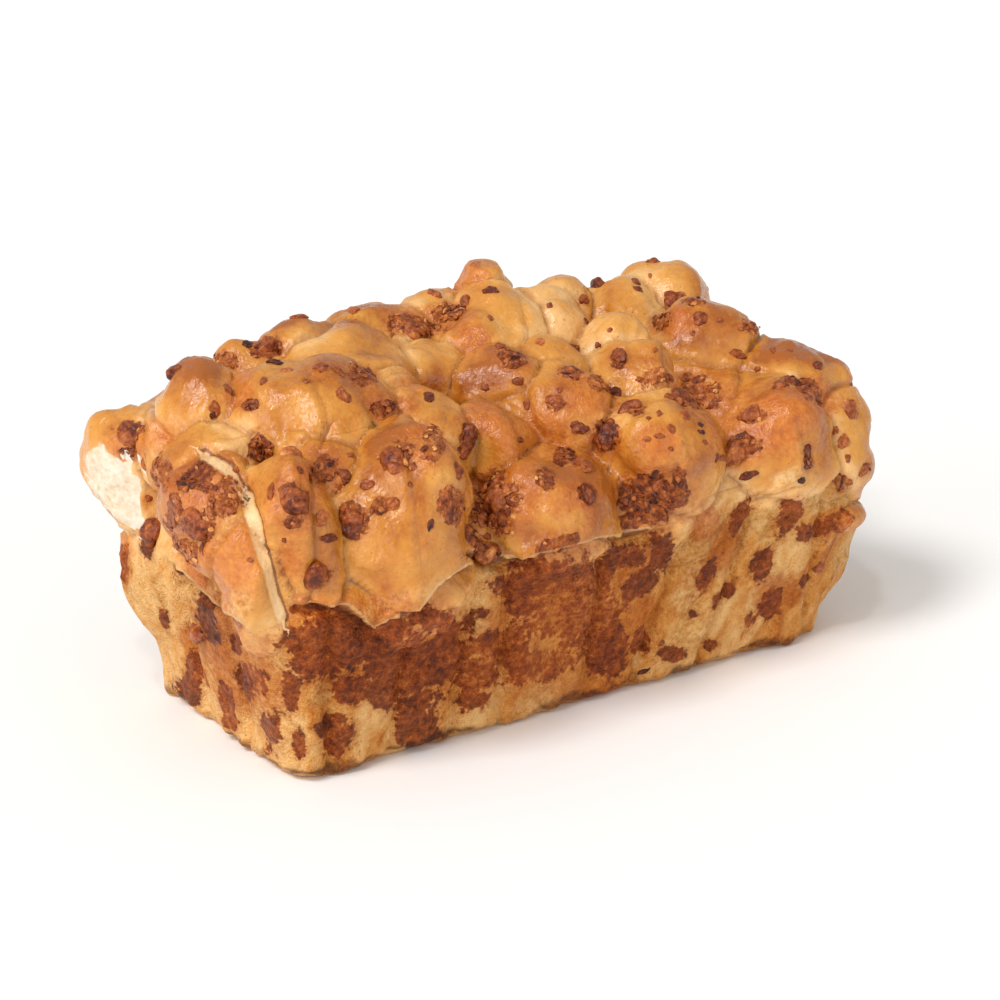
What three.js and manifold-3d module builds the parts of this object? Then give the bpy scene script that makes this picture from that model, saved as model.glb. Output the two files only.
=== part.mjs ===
// Pepperoni bread: balls of dough baked together in a loaf pan, with chopped pepperoni
// in and on the dough. Millimetres, +Z up, longest side along X, flat base at z = 0.
import * as THREE from 'three';
import { mergeVertices } from 'three/addons/utils/BufferGeometryUtils.js';
import Module from 'manifold-3d';

// ---- driving sizes -------------------------------------------------------------------
const BASE_LENGTH = 208;      // bottom of the pan, inside
const BASE_WIDTH = 88;
const RIM_HEIGHT = 58;        // where the dough leaves the pan and swells over it
const RIM_SPREAD = 11;        // how much wider the pan is at that height, on each side
const BASE_ROUND = 5;         // rounding between the base and the walls
const BASE_CORNER = 10;       // corner radius of the pan in plan
const SHOULDER_INSET = 46;    // the risen dome under the balls of dough: how far it draws in
const SHOULDER_RISE = 27;     // and how high it stands over the rim
const CORE_TOP = RIM_HEIGHT + SHOULDER_RISE * 0.97;
const WALL_SWELL = 0.8;       // how far the walls swell between their seams
const LUMP = 0.045;           // unevenness of a ball, as a share of its radius
const CREASE_SOFTNESS = 3.2;  // how far a crease between two balls is filled
const SWERVE = 1.5;           // how far the risen dough is out of round, in long waves
const SWERVE_FINE = 0.6;      // and in short ones
const SEAM_DEPTH = 1.8;       // depth of the joints between balls where the pan pressed them
const SEAM_HALF_WIDTH = 4;
const CHUNK_GAP = 0.35;       // clear space between a chunk and the dough round it
const POCKET_SWELL = 1.36;    // a pocket has few facets, so it is cut this much larger
const FAR_BIT_COUNT = 30;     // small bits of pepperoni on the back and the right end
const BIT_RADIUS = [1.9, 3.2];
const BIT_TURN = 40;          // each bit is turned this many degrees more than the last
const CELL = 5.0;             // grid on which the dough's skin is found
const DOUGH_TRIANGLES = 6550; // the dough's facets, before pepperoni is added
const SEED = 20417;

// Balls of dough: name, centre, radii, and lean in degrees (from the +Z axis towards +X).
// The front row lies along -Y, from the left end to the right end.
const BALLS = [
  ['front_corner_left', -117, -20, 85, 14, 16, 18, -10],
  ['front_corner_low', -111, -36, 66, 12, 14, 22, -16],
  ['front_1', -98, -38, 80, 13, 19, 29, -8],
  ['front_1_small', -84, -26, 95, 9, 13, 12, 0],
  ['front_2', -64, -40, 77, 25, 25, 31, 0],
  ['front_2_flap', -66, -48, 55, 22, 12, 10, 0],
  ['front_2_back', -40, -18, 92, 14, 16, 17, 0],
  ['front_3_back', -19, -24, 90, 12, 16, 15, 0],
  ['front_3', -9, -44, 73, 24, 19, 17, 0],
  ['front_4_back', 15, -18, 86, 15, 18, 18, 0],
  ['front_4', 40, -37, 80, 22, 24, 22, 0],
  ['front_4_top', 42, -18, 92, 12, 18, 18, 0],
  ['front_5', 83, -38, 72, 22, 22, 20, 0],
  ['front_corner_right', 112, -36, 67, 14, 20, 21, 0],
  ['right_top', 104, -22, 84, 18, 22, 17, 0],
  ['crown_1', -74, -2, 104, 25, 26, 18, 0],
  ['crown_2', -43, 0, 97, 12, 14, 12, 0],
  ['crown_3', -43, 20, 107, 22, 18, 11, 0],
  ['crown_4', -15, 16, 102, 12, 13, 11, 0],
  ['crown_5', 0, 2, 99, 12, 13, 12, 0],
  ['crown_6', 22, 2, 96, 12, 13, 12, 0],
  ['crown_7', 51, 6, 98, 12, 14, 16, 0],
  ['crown_8', 85, 2, 92, 18, 20, 17, 0],
  ['back_1', -99, 22, 104, 13, 15, 15, 0],
  ['back_2', -73, 38, 107, 10, 12, 10, 0],
  ['back_3', -52, 38, 108, 13, 15, 10, 0],
  ['back_4', -22, 40, 108, 15, 16, 10, 0],
  ['back_peak', 21, 43, 114, 6.5, 9, 11, 12],
  ['back_ridge', 0, 44, 107, 16, 10, 9, 0],
  ['back_5', 14, 26, 106, 20, 17, 13, 0],
  ['back_6', 38, 26, 104, 14, 16, 12, 0],
  ['back_7', 54, 44, 104, 10, 11, 10, 0],
  ['back_8', 74, 32, 98, 14, 17, 12, 0],
  ['back_9', 97, 40, 98, 15, 18, 14, 0],
  ['left_corner', -114, 44, 80, 12, 16, 18, 0],
  ['left_top', -106, 24, 92, 10, 12, 12, 0],
  ['left_middle', -104, 2, 91, 12, 14, 14, 0],
  ['left_wall_far', -105, 32, 48, 14, 19, 24, 0],
  ['rear_1', -90, 44, 76, 24, 16, 26, 0],
  ['rear_2', -46, 47, 80, 28, 17, 30, 0],
  ['rear_3', 0, 47, 80, 26, 17, 30, 0],
  ['rear_4', 46, 47, 76, 26, 17, 28, 0],
  ['rear_5', 90, 43, 74, 24, 18, 26, 0],
  ['under_left', -48, 20, 89, 46, 27, 17, 0],
  ['under_right', 34, 20, 86, 60, 27, 16, 0],
  ['valley_right', 68, -18, 79, 18, 18, 14, 0],
  ['valley_left', -86, 18, 96, 16, 16, 14, 0],
  ['valley_back', 36, 45, 95, 14, 12, 14, 0],
  ['valley_front', 0, -12, 87, 14, 14, 11, 0],
  ['right_middle', 107, 4, 66, 18, 20, 24, 0],
  ['right_rear', 104, 32, 66, 18, 20, 24, 0],
  ['right_wall_near', 101, -26, 32, 24, 22, 27, 0],
  ['right_wall_far', 98, 18, 34, 23, 22, 26, 0],
  ['right_flap', 107, -46, 46, 9, 9, 3.5, 12],
];

// Upright seams in the walls: side of the loaf, position at the base, position at the rim.
const SEAMS = [
  ['front', -92, -97], ['front', -70, -69], ['front', -46, -44], ['front', -28, -31],
  ['front', 6, 4], ['front', 24, 40], ['front', 50, 66], ['front', 97, 93],
  ['back', -84, -80], ['back', -52, -55], ['back', -20, -17], ['back', 14, 18],
  ['back', 48, 44], ['back', 82, 86],
  ['left', -16, -21], ['left', 12, 9], ['left', 34, 38],
  ['right', -4, -2], ['right', 30, 34],
];

// Chunks of pepperoni as large as berries: the side they are seen from, the two places
// across that side, three full sizes (across, up, out) and a turn in degrees.
const CHUNKS = [
  ['front', -59, 90, 7, 13, 6, 8], ['front', -48, 75, 7, 10, 6, 0],
  ['front', -38, 67, 9, 6, 6, 10], ['front', -102, 74, 8, 7, 6, 20],
  ['front', -106, 99, 10, 11, 8, 0], ['front', -32, 97, 6, 12, 7, -10],
  ['front', 62, 78, 10, 8, 7, 10], ['front', -85, 87, 11, 11, 8, 20],
  ['top', -29, -45, 12, 11, 8, 30], ['top', 17, -39, 9, 10, 7, 0],
  ['top', -17, -54, 7, 7, 6, 0], ['top', -70, -50, 9, 10, 6, 0],
  ['top', 94, -12, 9, 8, 7, 0], ['top', 45, -40, 11, 8, 7, 30],
  ['top', 71, -45, 10, 6, 6, 10], ['top', 113, -46, 7, 8, 6, 0],
  ['top', -117, 33, 8, 10, 6, 0], ['top', -99, -38, 9, 8, 7, 60],
  ['top', 96, -45, 10, 9, 7, 20], ['top', 27, -38, 7, 6, 5, 0],
  ['top', 2, -7, 9, 8, 6, 15], ['top', 71, 41, 7, 6, 6, 0],
  ['top', -103, 26, 9, 7, 6, 40], ['top', -67, 32, 9, 7, 6, 0],
  ['top', 16, -21, 10, 7, 6, 0], ['top', -14, 27, 9, 7, 6, 0],
  ['top', 92, 24, 10, 9, 7, 50],
  ['left', -26, 87, 12, 10, 6, 0], ['left', 5, 36, 7, 15, 5, 12], ['left', 24, 66, 9, 8, 6, 0],
  ['back', -70, 84, 12, 9, 7, 15], ['back', -22, 92, 11, 12, 7, -20],
  ['back', 22, 76, 13, 9, 7, 30], ['back', 66, 84, 10, 12, 7, 0],
  ['back', 96, 62, 9, 11, 6, 25],
  ['right', -10, 78, 10, 9, 7, 10], ['right', 22, 70, 12, 9, 7, -30],
];

// Small bits of pepperoni baked onto the crown: the side they are seen from, the two places
// across that side, and their half width.
const BITS = [
  ['left', 23, 89, 2.2], ['left', -12, 96, 2.2], ['top', -94, 25, 2.6], ['top', -102, 4, 2.4],
  ['top', -71, -21, 2.4], ['top', -79, -1, 2.0], ['top', -72, -10, 2.2], ['front', -98, 92, 2.0],
  ['top', -74, -43, 2.8], ['front', -82, 98, 2.0], ['top', -79, -48, 2.0], ['front', -75, 93, 2.2],
  ['front', -72, 97, 2.0], ['top', -39, -21, 2.0], ['front', -52, 99, 2.4], ['top', -1, -51, 2.4],
  ['top', 30, -25, 2.4], ['top', -1, -20, 2.0], ['top', 20, 41, 2.0], ['top', 3, 40, 2.0],
  ['top', 16, 26, 2.2], ['top', 58, 31, 2.0], ['top', 80, 32, 2.0], ['top', 37, -18, 2.4],
  ['top', 78, -7, 2.2], ['top', 86, -18, 2.2], ['top', 107, -35, 2.0], ['top', 9, 31, 2.0],
  ['front', -5, 82, 2.6], ['top', 5, -27, 2.4], ['top', 85, -43, 2.2], ['front', 104, 74, 2.4],
  ['top', -95, 7, 2.0], ['top', -78, 7, 2.4], ['front', 9, 93, 2.2], ['top', 48, -8, 2.2],
  ['top', 60, 8, 2.0], ['top', -30, 38, 2.4], ['top', -50, 40, 2.4], ['top', 96, 44, 2.4],
];

const CRUST = { color: 0xc47a35, roughness: 0.45, metalness: 0 };
const MEAT = { color: 0x8a3c1c, roughness: 0.38, metalness: 0 };

// ---- solids --------------------------------------------------------------------------
const wasm = await Module();
wasm.setup();

function toSolid(geometry) {
  const bare = geometry.clone();
  bare.deleteAttribute('normal');
  bare.deleteAttribute('uv');
  const merged = mergeVertices(bare, 1e-4);
  return new wasm.Manifold(new wasm.Mesh({
    numProp: 3,
    vertProperties: new Float32Array(merged.attributes.position.array),
    triVerts: new Uint32Array(merged.index.array),
  }));
}

function toGeometry(positions, triangles) {
  const geometry = new THREE.BufferGeometry();
  geometry.setAttribute('position', new THREE.Float32BufferAttribute(positions, 3));
  geometry.setIndex(Array.from(triangles));
  geometry.computeVertexNormals();
  return geometry;
}

// Of the closed surfaces in a mesh, keeps the one that reaches furthest. A hollow sealed
// between the balls is filled by this, and a loose scrap is dropped.
function outerSurface(positions, triangles) {
  const parent = Array.from({ length: positions.length / 3 }, (_, i) => i);
  const find = (i) => {
    while (parent[i] !== i) {
      parent[i] = parent[parent[i]];
      i = parent[i];
    }
    return i;
  };
  for (let t = 0; t < triangles.length; t += 3) {
    parent[find(triangles[t])] = find(triangles[t + 1]);
    parent[find(triangles[t + 1])] = find(triangles[t + 2]);
  }
  const reach = new Map();
  for (let i = 0; i < parent.length; i += 1) {
    const root = find(i);
    const x = positions[3 * i];
    const span = reach.get(root) ?? [x, x];
    reach.set(root, [Math.min(span[0], x), Math.max(span[1], x)]);
  }
  const widest = [...reach].sort((a, b) => (b[1][1] - b[1][0]) - (a[1][1] - a[1][0]))[0][0];
  const kept = [];
  for (let t = 0; t < triangles.length; t += 3) {
    if (find(triangles[t]) === widest) kept.push(triangles[t], triangles[t + 1], triangles[t + 2]);
  }
  return kept;
}

function solidGeometry(solid) {
  const mesh = solid.getMesh();
  const positions = mesh.vertProperties;
  return toGeometry(positions, outerSurface(positions, mesh.triVerts));
}

// Merges the ends of short edges, shortest first, until few enough triangles are left.
// A merge is made only where the surface stays closed and no facet turns over.
const MERGE_LENGTHS = [0.4, 0.8, 1.2, 1.6, 2, 2.4, 2.8, 3.2, 3.6, 4, 4.4, 4.8, 5.2, 5.6, 6, 6.5, 7, 8];
const LEAST_TURN = 0.8;
function thinOut(geometry, limit) {
  const points = [];
  const place = geometry.attributes.position;
  for (let i = 0; i < place.count; i += 1) points.push(new THREE.Vector3().fromBufferAttribute(place, i));
  const faces = [];
  for (let t = 0; t < geometry.index.count; t += 3) {
    faces.push([0, 1, 2].map((k) => geometry.index.getX(t + k)));
  }
  const around = points.map(() => new Set());
  faces.forEach((face, f) => face.forEach((i) => around[i].add(f)));
  let left = faces.length;

  const neighbours = (i) => new Set([...around[i]].flatMap((f) => faces[f]).filter((j) => j !== i));
  const isFree = (i) => points[i].z > BASE_ROUND
    || (points[i].z === 0 && [...neighbours(i)].every((j) => points[j].z === 0));
  const facing = (face, moved, spot) => {
    const [a, b, c] = face.map((i) => (moved.includes(i) ? spot : points[i]));
    return new THREE.Vector3().crossVectors(b.clone().sub(a), c.clone().sub(a));
  };
  const keepsShape = (a, b, spot) => [...around[a], ...around[b]].every((f) => {
    if (faces[f].includes(a) && faces[f].includes(b)) return true;
    const before = facing(faces[f], [], spot);
    const after = facing(faces[f], [a, b], spot);
    return before.dot(after) > LEAST_TURN * before.length() * after.length();
  });
  const merge = (a, b) => {
    const shared = [...neighbours(a)].filter((i) => neighbours(b).has(i));
    const spot = points[a].clone().lerp(points[b], 0.5);
    if (shared.length !== 2 || !keepsShape(a, b, spot)) return;
    for (const f of [...around[b]]) {
      if (faces[f].includes(a)) {
        faces[f].forEach((i) => around[i].delete(f));
        faces[f] = null;
        left -= 1;
      } else {
        faces[f] = faces[f].map((i) => (i === b ? a : i));
        around[a].add(f);
      }
    }
    around[b].clear();
    points[a].copy(spot);
  };
  for (const longest of MERGE_LENGTHS) {
    for (let f = 0; f < faces.length && left > limit; f += 1) {
      for (let k = 0; k < 3 && faces[f]; k += 1) {
        const [a, b] = [faces[f][k], faces[f][(k + 1) % 3]];
        if (points[a].distanceTo(points[b]) < longest && isFree(a) && isFree(b)) merge(a, b);
      }
    }
  }
  const positions = points.flatMap((point) => point.toArray());
  return mergeVertices(toGeometry(positions, faces.filter((face) => face).flat()).toNonIndexed(), 0);
}

// ---- the dough's form ----------------------------------------------------------------
// Unevenness of ball number n in direction u, as a share of its radius.
function lumpiness(u, n) {
  return LUMP * (
    Math.sin(2.3 * u.x + 1.7 * n)
    + 0.8 * Math.sin(3.1 * u.y + u.z + 2.9 * n)
    + 0.6 * Math.sin(4.7 * u.z + 2 * u.x + 0.7 * n));
}

// How far a point lies outside ball number n: its distance from the centre, less the ball's
// own radius that way.
function ballDistance([, x, y, z, rx, ry, rz, lean], n, at) {
  const offset = at.clone().sub(new THREE.Vector3(x, y, z));
  const away = offset.length();
  offset.applyAxisAngle(new THREE.Vector3(0, 1, 0), THREE.MathUtils.degToRad(-lean));
  const scaled = offset.divide(new THREE.Vector3(rx, ry, rz));
  const reach = Math.max(scaled.length(), 1e-6);
  return away * (1 - (1 + lumpiness(scaled.divideScalar(reach), n)) / reach);
}

// How far the dough stands out from the base outline at height z: the pan's taper, less
// the dome's pull inwards above the rim.
function wallSpread(z) {
  const above = Math.max(z - RIM_HEIGHT, 0) / SHOULDER_RISE;
  return Math.min(z, RIM_HEIGHT) * RIM_SPREAD / RIM_HEIGHT
    - SHOULDER_INSET * (1 - Math.sqrt(1 - above ** 2));
}

function seamDepth(side, along, z) {
  let depth = 0;
  for (const [seamSide, low, high] of SEAMS) {
    if (seamSide !== side) continue;
    const centre = low + (high - low) * z / RIM_HEIGHT;
    depth += SEAM_DEPTH * Math.exp(-(((along - centre) / SEAM_HALF_WIDTH) ** 2));
  }
  return depth;
}

// Distance outside the round-cornered meeting of two faces, each given by its own distance.
function roundedMeeting(first, second, radius) {
  const a = first + radius;
  const b = second + radius;
  return Math.hypot(Math.max(a, 0), Math.max(b, 0)) + Math.min(Math.max(a, b), 0) - radius;
}

// How far a point lies outside the body that the pan pressed: a rounded rectangle in plan,
// wider by wallSpread at each height, dented by the seams, with a rounded foot.
function coreDistance({ x, y, z }) {
  const spread = wallSpread(THREE.MathUtils.clamp(z, 0, CORE_TOP));
  const beyondX = Math.abs(x) - BASE_LENGTH / 2 - spread;
  const beyondY = Math.abs(y) - BASE_WIDTH / 2 - spread;
  const lengthwise = beyondY > beyondX;
  const side = lengthwise ? (y < 0 ? 'front' : 'back') : (x < 0 ? 'left' : 'right');
  const swell = WALL_SWELL * Math.sin(x / 9 + y / 13 + 2) * Math.sin(z / 11 + x / 31 + 0.6);
  const wall = roundedMeeting(beyondX, beyondY, Math.max(BASE_CORNER + spread, 4))
    + (seamDepth(side, lengthwise ? x : y, z) - swell) * THREE.MathUtils.clamp(z / 12, 0, 1);
  return Math.max(roundedMeeting(wall, -z, BASE_ROUND), z - CORE_TOP);
}

// How far the dough was pushed aside as it rose, fading out below the rim of the pan.
function swerve({ x, y, z }) {
  const { sin } = Math;
  return new THREE.Vector3(
    SWERVE * (sin(y / 9.5 + 0.8) + 0.8 * sin(z / 8 + x / 21 + 2.1)) + SWERVE_FINE * sin(y / 4.1 + z / 5),
    SWERVE * (sin(z / 9 + 1.9) + 0.8 * sin(x / 8.5 + y / 19 + 0.4)) + SWERVE_FINE * sin(x / 3.9 + 1.2),
    SWERVE * (sin(x / 10 + 2.7) + 0.8 * sin(y / 8 + z / 23 + 1.1)) + SWERVE_FINE * sin(x / 4.3 - y / 4.7),
  ).multiplyScalar(THREE.MathUtils.smoothstep(z, RIM_HEIGHT - 8, RIM_HEIGHT + 12));
}

// How far a point lies outside the dough's skin, below 0 within it. The balls and the core
// are blended by a soft minimum, -k log(sum(exp(-distance / k))), which rounds the creases.
function doughDistance(point) {
  const at = point.clone().add(swerve(point));
  const each = BALLS.map((ball, n) => ballDistance(ball, n, at));
  each.push(coreDistance(at));
  const least = Math.min(...each);
  const total = each.reduce((sum, d) => sum + Math.exp((least - d) / CREASE_SOFTNESS), 0);
  return least - CREASE_SOFTNESS * Math.log(total);
}

// ---- the dough's skin ----------------------------------------------------------------
const GRID_LOW = new THREE.Vector3(-140, -74, -CELL / 2);
const GRID_COUNT = [Math.ceil(276 / CELL), Math.ceil(148 / CELL), Math.ceil(132 / CELL)];
const CUBE = [[0, 0, 0], [1, 0, 0], [1, 1, 0], [0, 1, 0], [0, 0, 1], [1, 0, 1], [1, 1, 1], [0, 1, 1]];
// Six wedges of four corners each round the cube's diagonal from corner 0 to corner 6.
const WEDGES = [[0, 5, 1, 6], [0, 1, 2, 6], [0, 2, 3, 6], [0, 3, 7, 6], [0, 7, 4, 6], [0, 4, 5, 6]];

// The surface where doughDistance is 0: each grid cube is cut into six wedges, and each
// wedge that the surface crosses gives one or two triangles.
function skinGeometry() {
  const [nx, ny, nz] = GRID_COUNT;
  const number = (i, j, k) => i + (nx + 1) * (j + (ny + 1) * k);
  const spot = (id) => {
    const i = id % (nx + 1);
    const j = Math.floor(id / (nx + 1)) % (ny + 1);
    const k = Math.floor(id / ((nx + 1) * (ny + 1)));
    return new THREE.Vector3(i, j, k).multiplyScalar(CELL).add(GRID_LOW);
  };
  const distance = Array.from({ length: number(nx, ny, nz) + 1 }, (_, id) => doughDistance(spot(id)));
  const positions = [];
  const crossings = new Map();
  const crossing = (a, b) => {
    const key = a < b ? `${a} ${b}` : `${b} ${a}`;
    if (!crossings.has(key)) {
      const point = spot(a).lerp(spot(b), distance[a] / (distance[a] - distance[b]));
      crossings.set(key, positions.length / 3);
      positions.push(...point.toArray());
    }
    return crossings.get(key);
  };
  const triangles = [];
  const addTriangle = (corners, inside, outside) => {
    const [a, b, c] = corners.map((i) => new THREE.Vector3().fromArray(positions, 3 * i));
    const facing = b.sub(a).cross(c.sub(a));
    const way = spot(outside).sub(spot(inside));
    triangles.push(...(facing.dot(way) > 0 ? corners : [corners[0], corners[2], corners[1]]));
  };
  for (let k = 0; k < nz; k += 1) {
    for (let j = 0; j < ny; j += 1) {
      for (let i = 0; i < nx; i += 1) {
        const cube = CUBE.map(([x, y, z]) => number(i + x, j + y, k + z));
        for (const wedge of WEDGES) {
          const ids = wedge.map((corner) => cube[corner]);
          const inside = ids.filter((id) => distance[id] < 0);
          const outside = ids.filter((id) => distance[id] >= 0);
          if (inside.length === 0 || outside.length === 0) continue;
          const [p, q] = inside;
          const [r, s] = outside;
          if (inside.length === 1) addTriangle(outside.map((id) => crossing(p, id)), p, r);
          if (outside.length === 1) addTriangle(inside.map((id) => crossing(id, r)), p, r);
          if (inside.length === 2) {
            addTriangle([crossing(p, r), crossing(p, s), crossing(q, s)], p, s);
            addTriangle([crossing(p, r), crossing(q, s), crossing(q, r)], q, r);
          }
        }
      }
    }
  }
  return toGeometry(positions, triangles);
}

// Moves each point of a thinned skin back onto the surface, along the way out.
function settle(geometry) {
  const place = geometry.attributes.position;
  const step = 0.05;
  const axes = [[step, 0, 0], [0, step, 0], [0, 0, step]].map((axis) => new THREE.Vector3(...axis));
  for (let i = 0; i < place.count; i += 1) {
    const point = new THREE.Vector3().fromBufferAttribute(place, i);
    if (point.z > BASE_ROUND) {
      const distance = doughDistance(point);
      const slopes = axes.map((axis) => (doughDistance(point.clone().add(axis)) - distance) / step);
      const slope = new THREE.Vector3(...slopes);
      const move = THREE.MathUtils.clamp(distance, -0.8, 0.8) / Math.max(slope.lengthSq(), 0.3);
      point.addScaledVector(slope, -move);
    } else if (point.z < 0.06) {
      point.z = 0;
    }
    place.setXYZ(i, ...point.toArray());
  }
  return geometry;
}

// ---- pepperoni -----------------------------------------------------------------------
// Even draws from 0 to 1, the same each time.
let drawState = SEED;
function draw() {
  drawState = (Math.imul(drawState, 1664525) + 1013904223) >>> 0;
  return drawState / 4294967296;
}

// The point and outward direction of the dough's surface seen from one side.
const SIDES = {
  front: { across: [1, 0, 0], up: [0, 0, 1], out: [0, -1, 0] },
  back: { across: [1, 0, 0], up: [0, 0, 1], out: [0, 1, 0] },
  left: { across: [0, 1, 0], up: [0, 0, 1], out: [-1, 0, 0] },
  right: { across: [0, 1, 0], up: [0, 0, 1], out: [1, 0, 0] },
  top: { across: [1, 0, 0], up: [0, 1, 0], out: [0, 0, 1] },
};
const FAR = 400;

function surfaceAt(target, sideName, across, up) {
  const side = SIDES[sideName];
  const out = new THREE.Vector3(...side.out);
  const start = new THREE.Vector3()
    .addScaledVector(new THREE.Vector3(...side.across), across)
    .addScaledVector(new THREE.Vector3(...side.up), up)
    .addScaledVector(out, FAR);
  const caster = new THREE.Raycaster(start, out.clone().negate());
  const hit = caster.intersectObject(target)[0];
  return hit ? { point: hit.point, normal: hit.face.normal.clone() } : null;
}

// A rough nugget: an uneven ball of three full sizes, its third along the normal.
function nuggetGeometry(sizes, turnDegrees, seed, detail) {
  const geometry = new THREE.IcosahedronGeometry(1, detail);
  const place = geometry.attributes.position;
  const turn = new THREE.Matrix4().makeRotationZ(THREE.MathUtils.degToRad(turnDegrees));
  const u = new THREE.Vector3();
  for (let i = 0; i < place.count; i += 1) {
    u.fromBufferAttribute(place, i).normalize();
    const swell = 1
      + 0.1 * Math.sin(3.7 * u.x + 1.9 * seed)
      + 0.08 * Math.sin(4.9 * u.y + 2.3 * seed)
      + 0.06 * Math.sin(5.3 * u.z + seed);
    u.set(u.x * sizes[0] / 2, u.y * sizes[1] / 2, u.z * sizes[2] / 2).multiplyScalar(swell);
    u.applyMatrix4(turn);
    place.setXYZ(i, u.x, u.y, u.z);
  }
  return geometry;
}

function placement(point, normal, sink) {
  const turn = new THREE.Quaternion().setFromUnitVectors(new THREE.Vector3(0, 0, 1), normal);
  const centre = point.clone().addScaledVector(normal, -sink);
  return new THREE.Matrix4().compose(centre, turn, new THREE.Vector3(1, 1, 1));
}

function chunkPieces(target) {
  const pieces = [];
  CHUNKS.forEach(([side, across, up, wide, tall, thick, turn], n) => {
    const spot = surfaceAt(target, side, across, up);
    const move = placement(spot.point, spot.normal, thick * 0.12);
    const shape = nuggetGeometry([wide, tall, thick], turn, n, 1).applyMatrix4(move);
    const grown = [wide, tall, thick].map((size) => size * POCKET_SWELL + 2 * CHUNK_GAP);
    const pocket = nuggetGeometry(grown, turn, n, 0).applyMatrix4(move);
    const name = `pepperoni_chunk_${String(n + 1).padStart(2, '0')}`;
    pieces.push({ name, shape, pocket, centre: spot.point, reach: Math.max(wide, tall) / 2 });
  });
  return pieces;
}

// Spots for the small bits: the listed ones, then bits spread by draws over the back and the
// right end. Each is kept clear of the chunks and of the other bits.
function bitSpots(target, chunks) {
  const taken = chunks.map(({ centre, reach }) => ({ point: centre, reach: reach + 1 }));
  const spots = [];
  const tryOne = (side, across, up, radius) => {
    const spot = surfaceAt(target, side, across, up);
    if (!spot) return;
    const clear = taken.every(({ point, reach }) => point.distanceTo(spot.point) > reach + radius * 1.7);
    if (!clear) return;
    taken.push({ point: spot.point, reach: radius });
    spots.push({ ...spot, radius, turn: BIT_TURN * spots.length });
  };
  for (const bit of BITS) tryOne(...bit);
  for (let i = 0; i < FAR_BIT_COUNT; i += 1) {
    const [side, half] = i % 3 === 2 ? ['right', BASE_WIDTH / 2] : ['back', BASE_LENGTH / 2];
    const across = half * (2 * draw() - 1);
    const up = RIM_HEIGHT + 4 + 36 * draw();
    tryOne(side, across, up, BIT_RADIUS[0] + (BIT_RADIUS[1] - BIT_RADIUS[0]) * draw() ** 2);
  }
  return spots;
}

function bitSolid({ point, normal, radius, turn }, n) {
  const sizes = [2 * radius * 1.35, 2 * radius, radius * 1.5];
  const move = placement(point, normal, radius * 0.15);
  return toSolid(nuggetGeometry(sizes, turn, n, 0).applyMatrix4(move));
}

// ---- the loaf ------------------------------------------------------------------------
function buildBread() {
  const bread = new THREE.Group();
  const skin = settle(thinOut(settle(skinGeometry()), DOUGH_TRIANGLES));
  const target = new THREE.Mesh(skin);
  const chunks = chunkPieces(target);
  let loaf = toSolid(target.geometry);
  bitSpots(target, chunks).forEach((spot, n) => {
    loaf = loaf.add(bitSolid(spot, n));
  });
  for (const { pocket } of chunks) loaf = loaf.subtract(toSolid(pocket));

  const loafMesh = new THREE.Mesh(solidGeometry(loaf), new THREE.MeshStandardMaterial(CRUST));
  loafMesh.name = 'loaf';
  bread.add(loafMesh);
  for (const { name, shape } of chunks) {
    const chunkMesh = new THREE.Mesh(shape, new THREE.MeshStandardMaterial(MEAT));
    chunkMesh.name = name;
    bread.add(chunkMesh);
  }
  const box = new THREE.Box3().setFromObject(bread);
  bread.position.set(-(box.min.x + box.max.x) / 2, -(box.min.y + box.max.y) / 2, 0);
  return bread;
}

export default buildBread();
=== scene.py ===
"""Pepperoni bread baked in a loaf pan: risen balls of dough with a glossy browned skin on the
crown, rough walls where the pan pressed them, and chopped pepperoni baked in and on the dough.

Sizes are millimetres in the tables and fields, and become metres when a mesh is made. The
dough is worked out in the baker's frame (flat base at z = 0, length along X), then moved so
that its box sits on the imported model's box.
"""
import math

import bmesh
import bpy
import numpy as np
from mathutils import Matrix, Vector
from mathutils.bvhtree import BVHTree


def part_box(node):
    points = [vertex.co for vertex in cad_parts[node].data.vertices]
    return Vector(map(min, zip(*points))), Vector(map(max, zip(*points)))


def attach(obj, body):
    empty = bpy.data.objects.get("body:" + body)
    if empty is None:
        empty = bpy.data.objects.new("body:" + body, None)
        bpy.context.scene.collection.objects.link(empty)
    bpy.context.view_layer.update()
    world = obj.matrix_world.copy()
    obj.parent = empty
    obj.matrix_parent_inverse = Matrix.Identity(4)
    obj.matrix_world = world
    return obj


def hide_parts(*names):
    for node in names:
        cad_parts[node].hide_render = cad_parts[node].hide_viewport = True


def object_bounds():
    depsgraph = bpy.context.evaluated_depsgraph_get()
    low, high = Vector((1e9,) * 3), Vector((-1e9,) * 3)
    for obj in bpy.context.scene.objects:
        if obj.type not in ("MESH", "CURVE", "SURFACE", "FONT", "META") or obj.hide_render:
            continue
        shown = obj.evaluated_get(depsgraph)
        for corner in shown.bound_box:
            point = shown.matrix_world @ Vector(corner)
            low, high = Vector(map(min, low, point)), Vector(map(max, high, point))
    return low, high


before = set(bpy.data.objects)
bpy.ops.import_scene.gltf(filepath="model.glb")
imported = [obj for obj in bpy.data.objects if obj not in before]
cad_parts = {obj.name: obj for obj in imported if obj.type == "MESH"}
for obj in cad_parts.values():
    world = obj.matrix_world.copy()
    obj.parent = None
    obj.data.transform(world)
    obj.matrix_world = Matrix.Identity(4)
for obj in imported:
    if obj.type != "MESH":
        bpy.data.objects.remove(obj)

CAD_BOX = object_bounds()
MM = 0.001
CAD_LOW, CAD_HIGH = (np.array(corner) / MM for corner in CAD_BOX)
SIDE_NAMES = ("front", "back", "left", "right")

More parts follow.
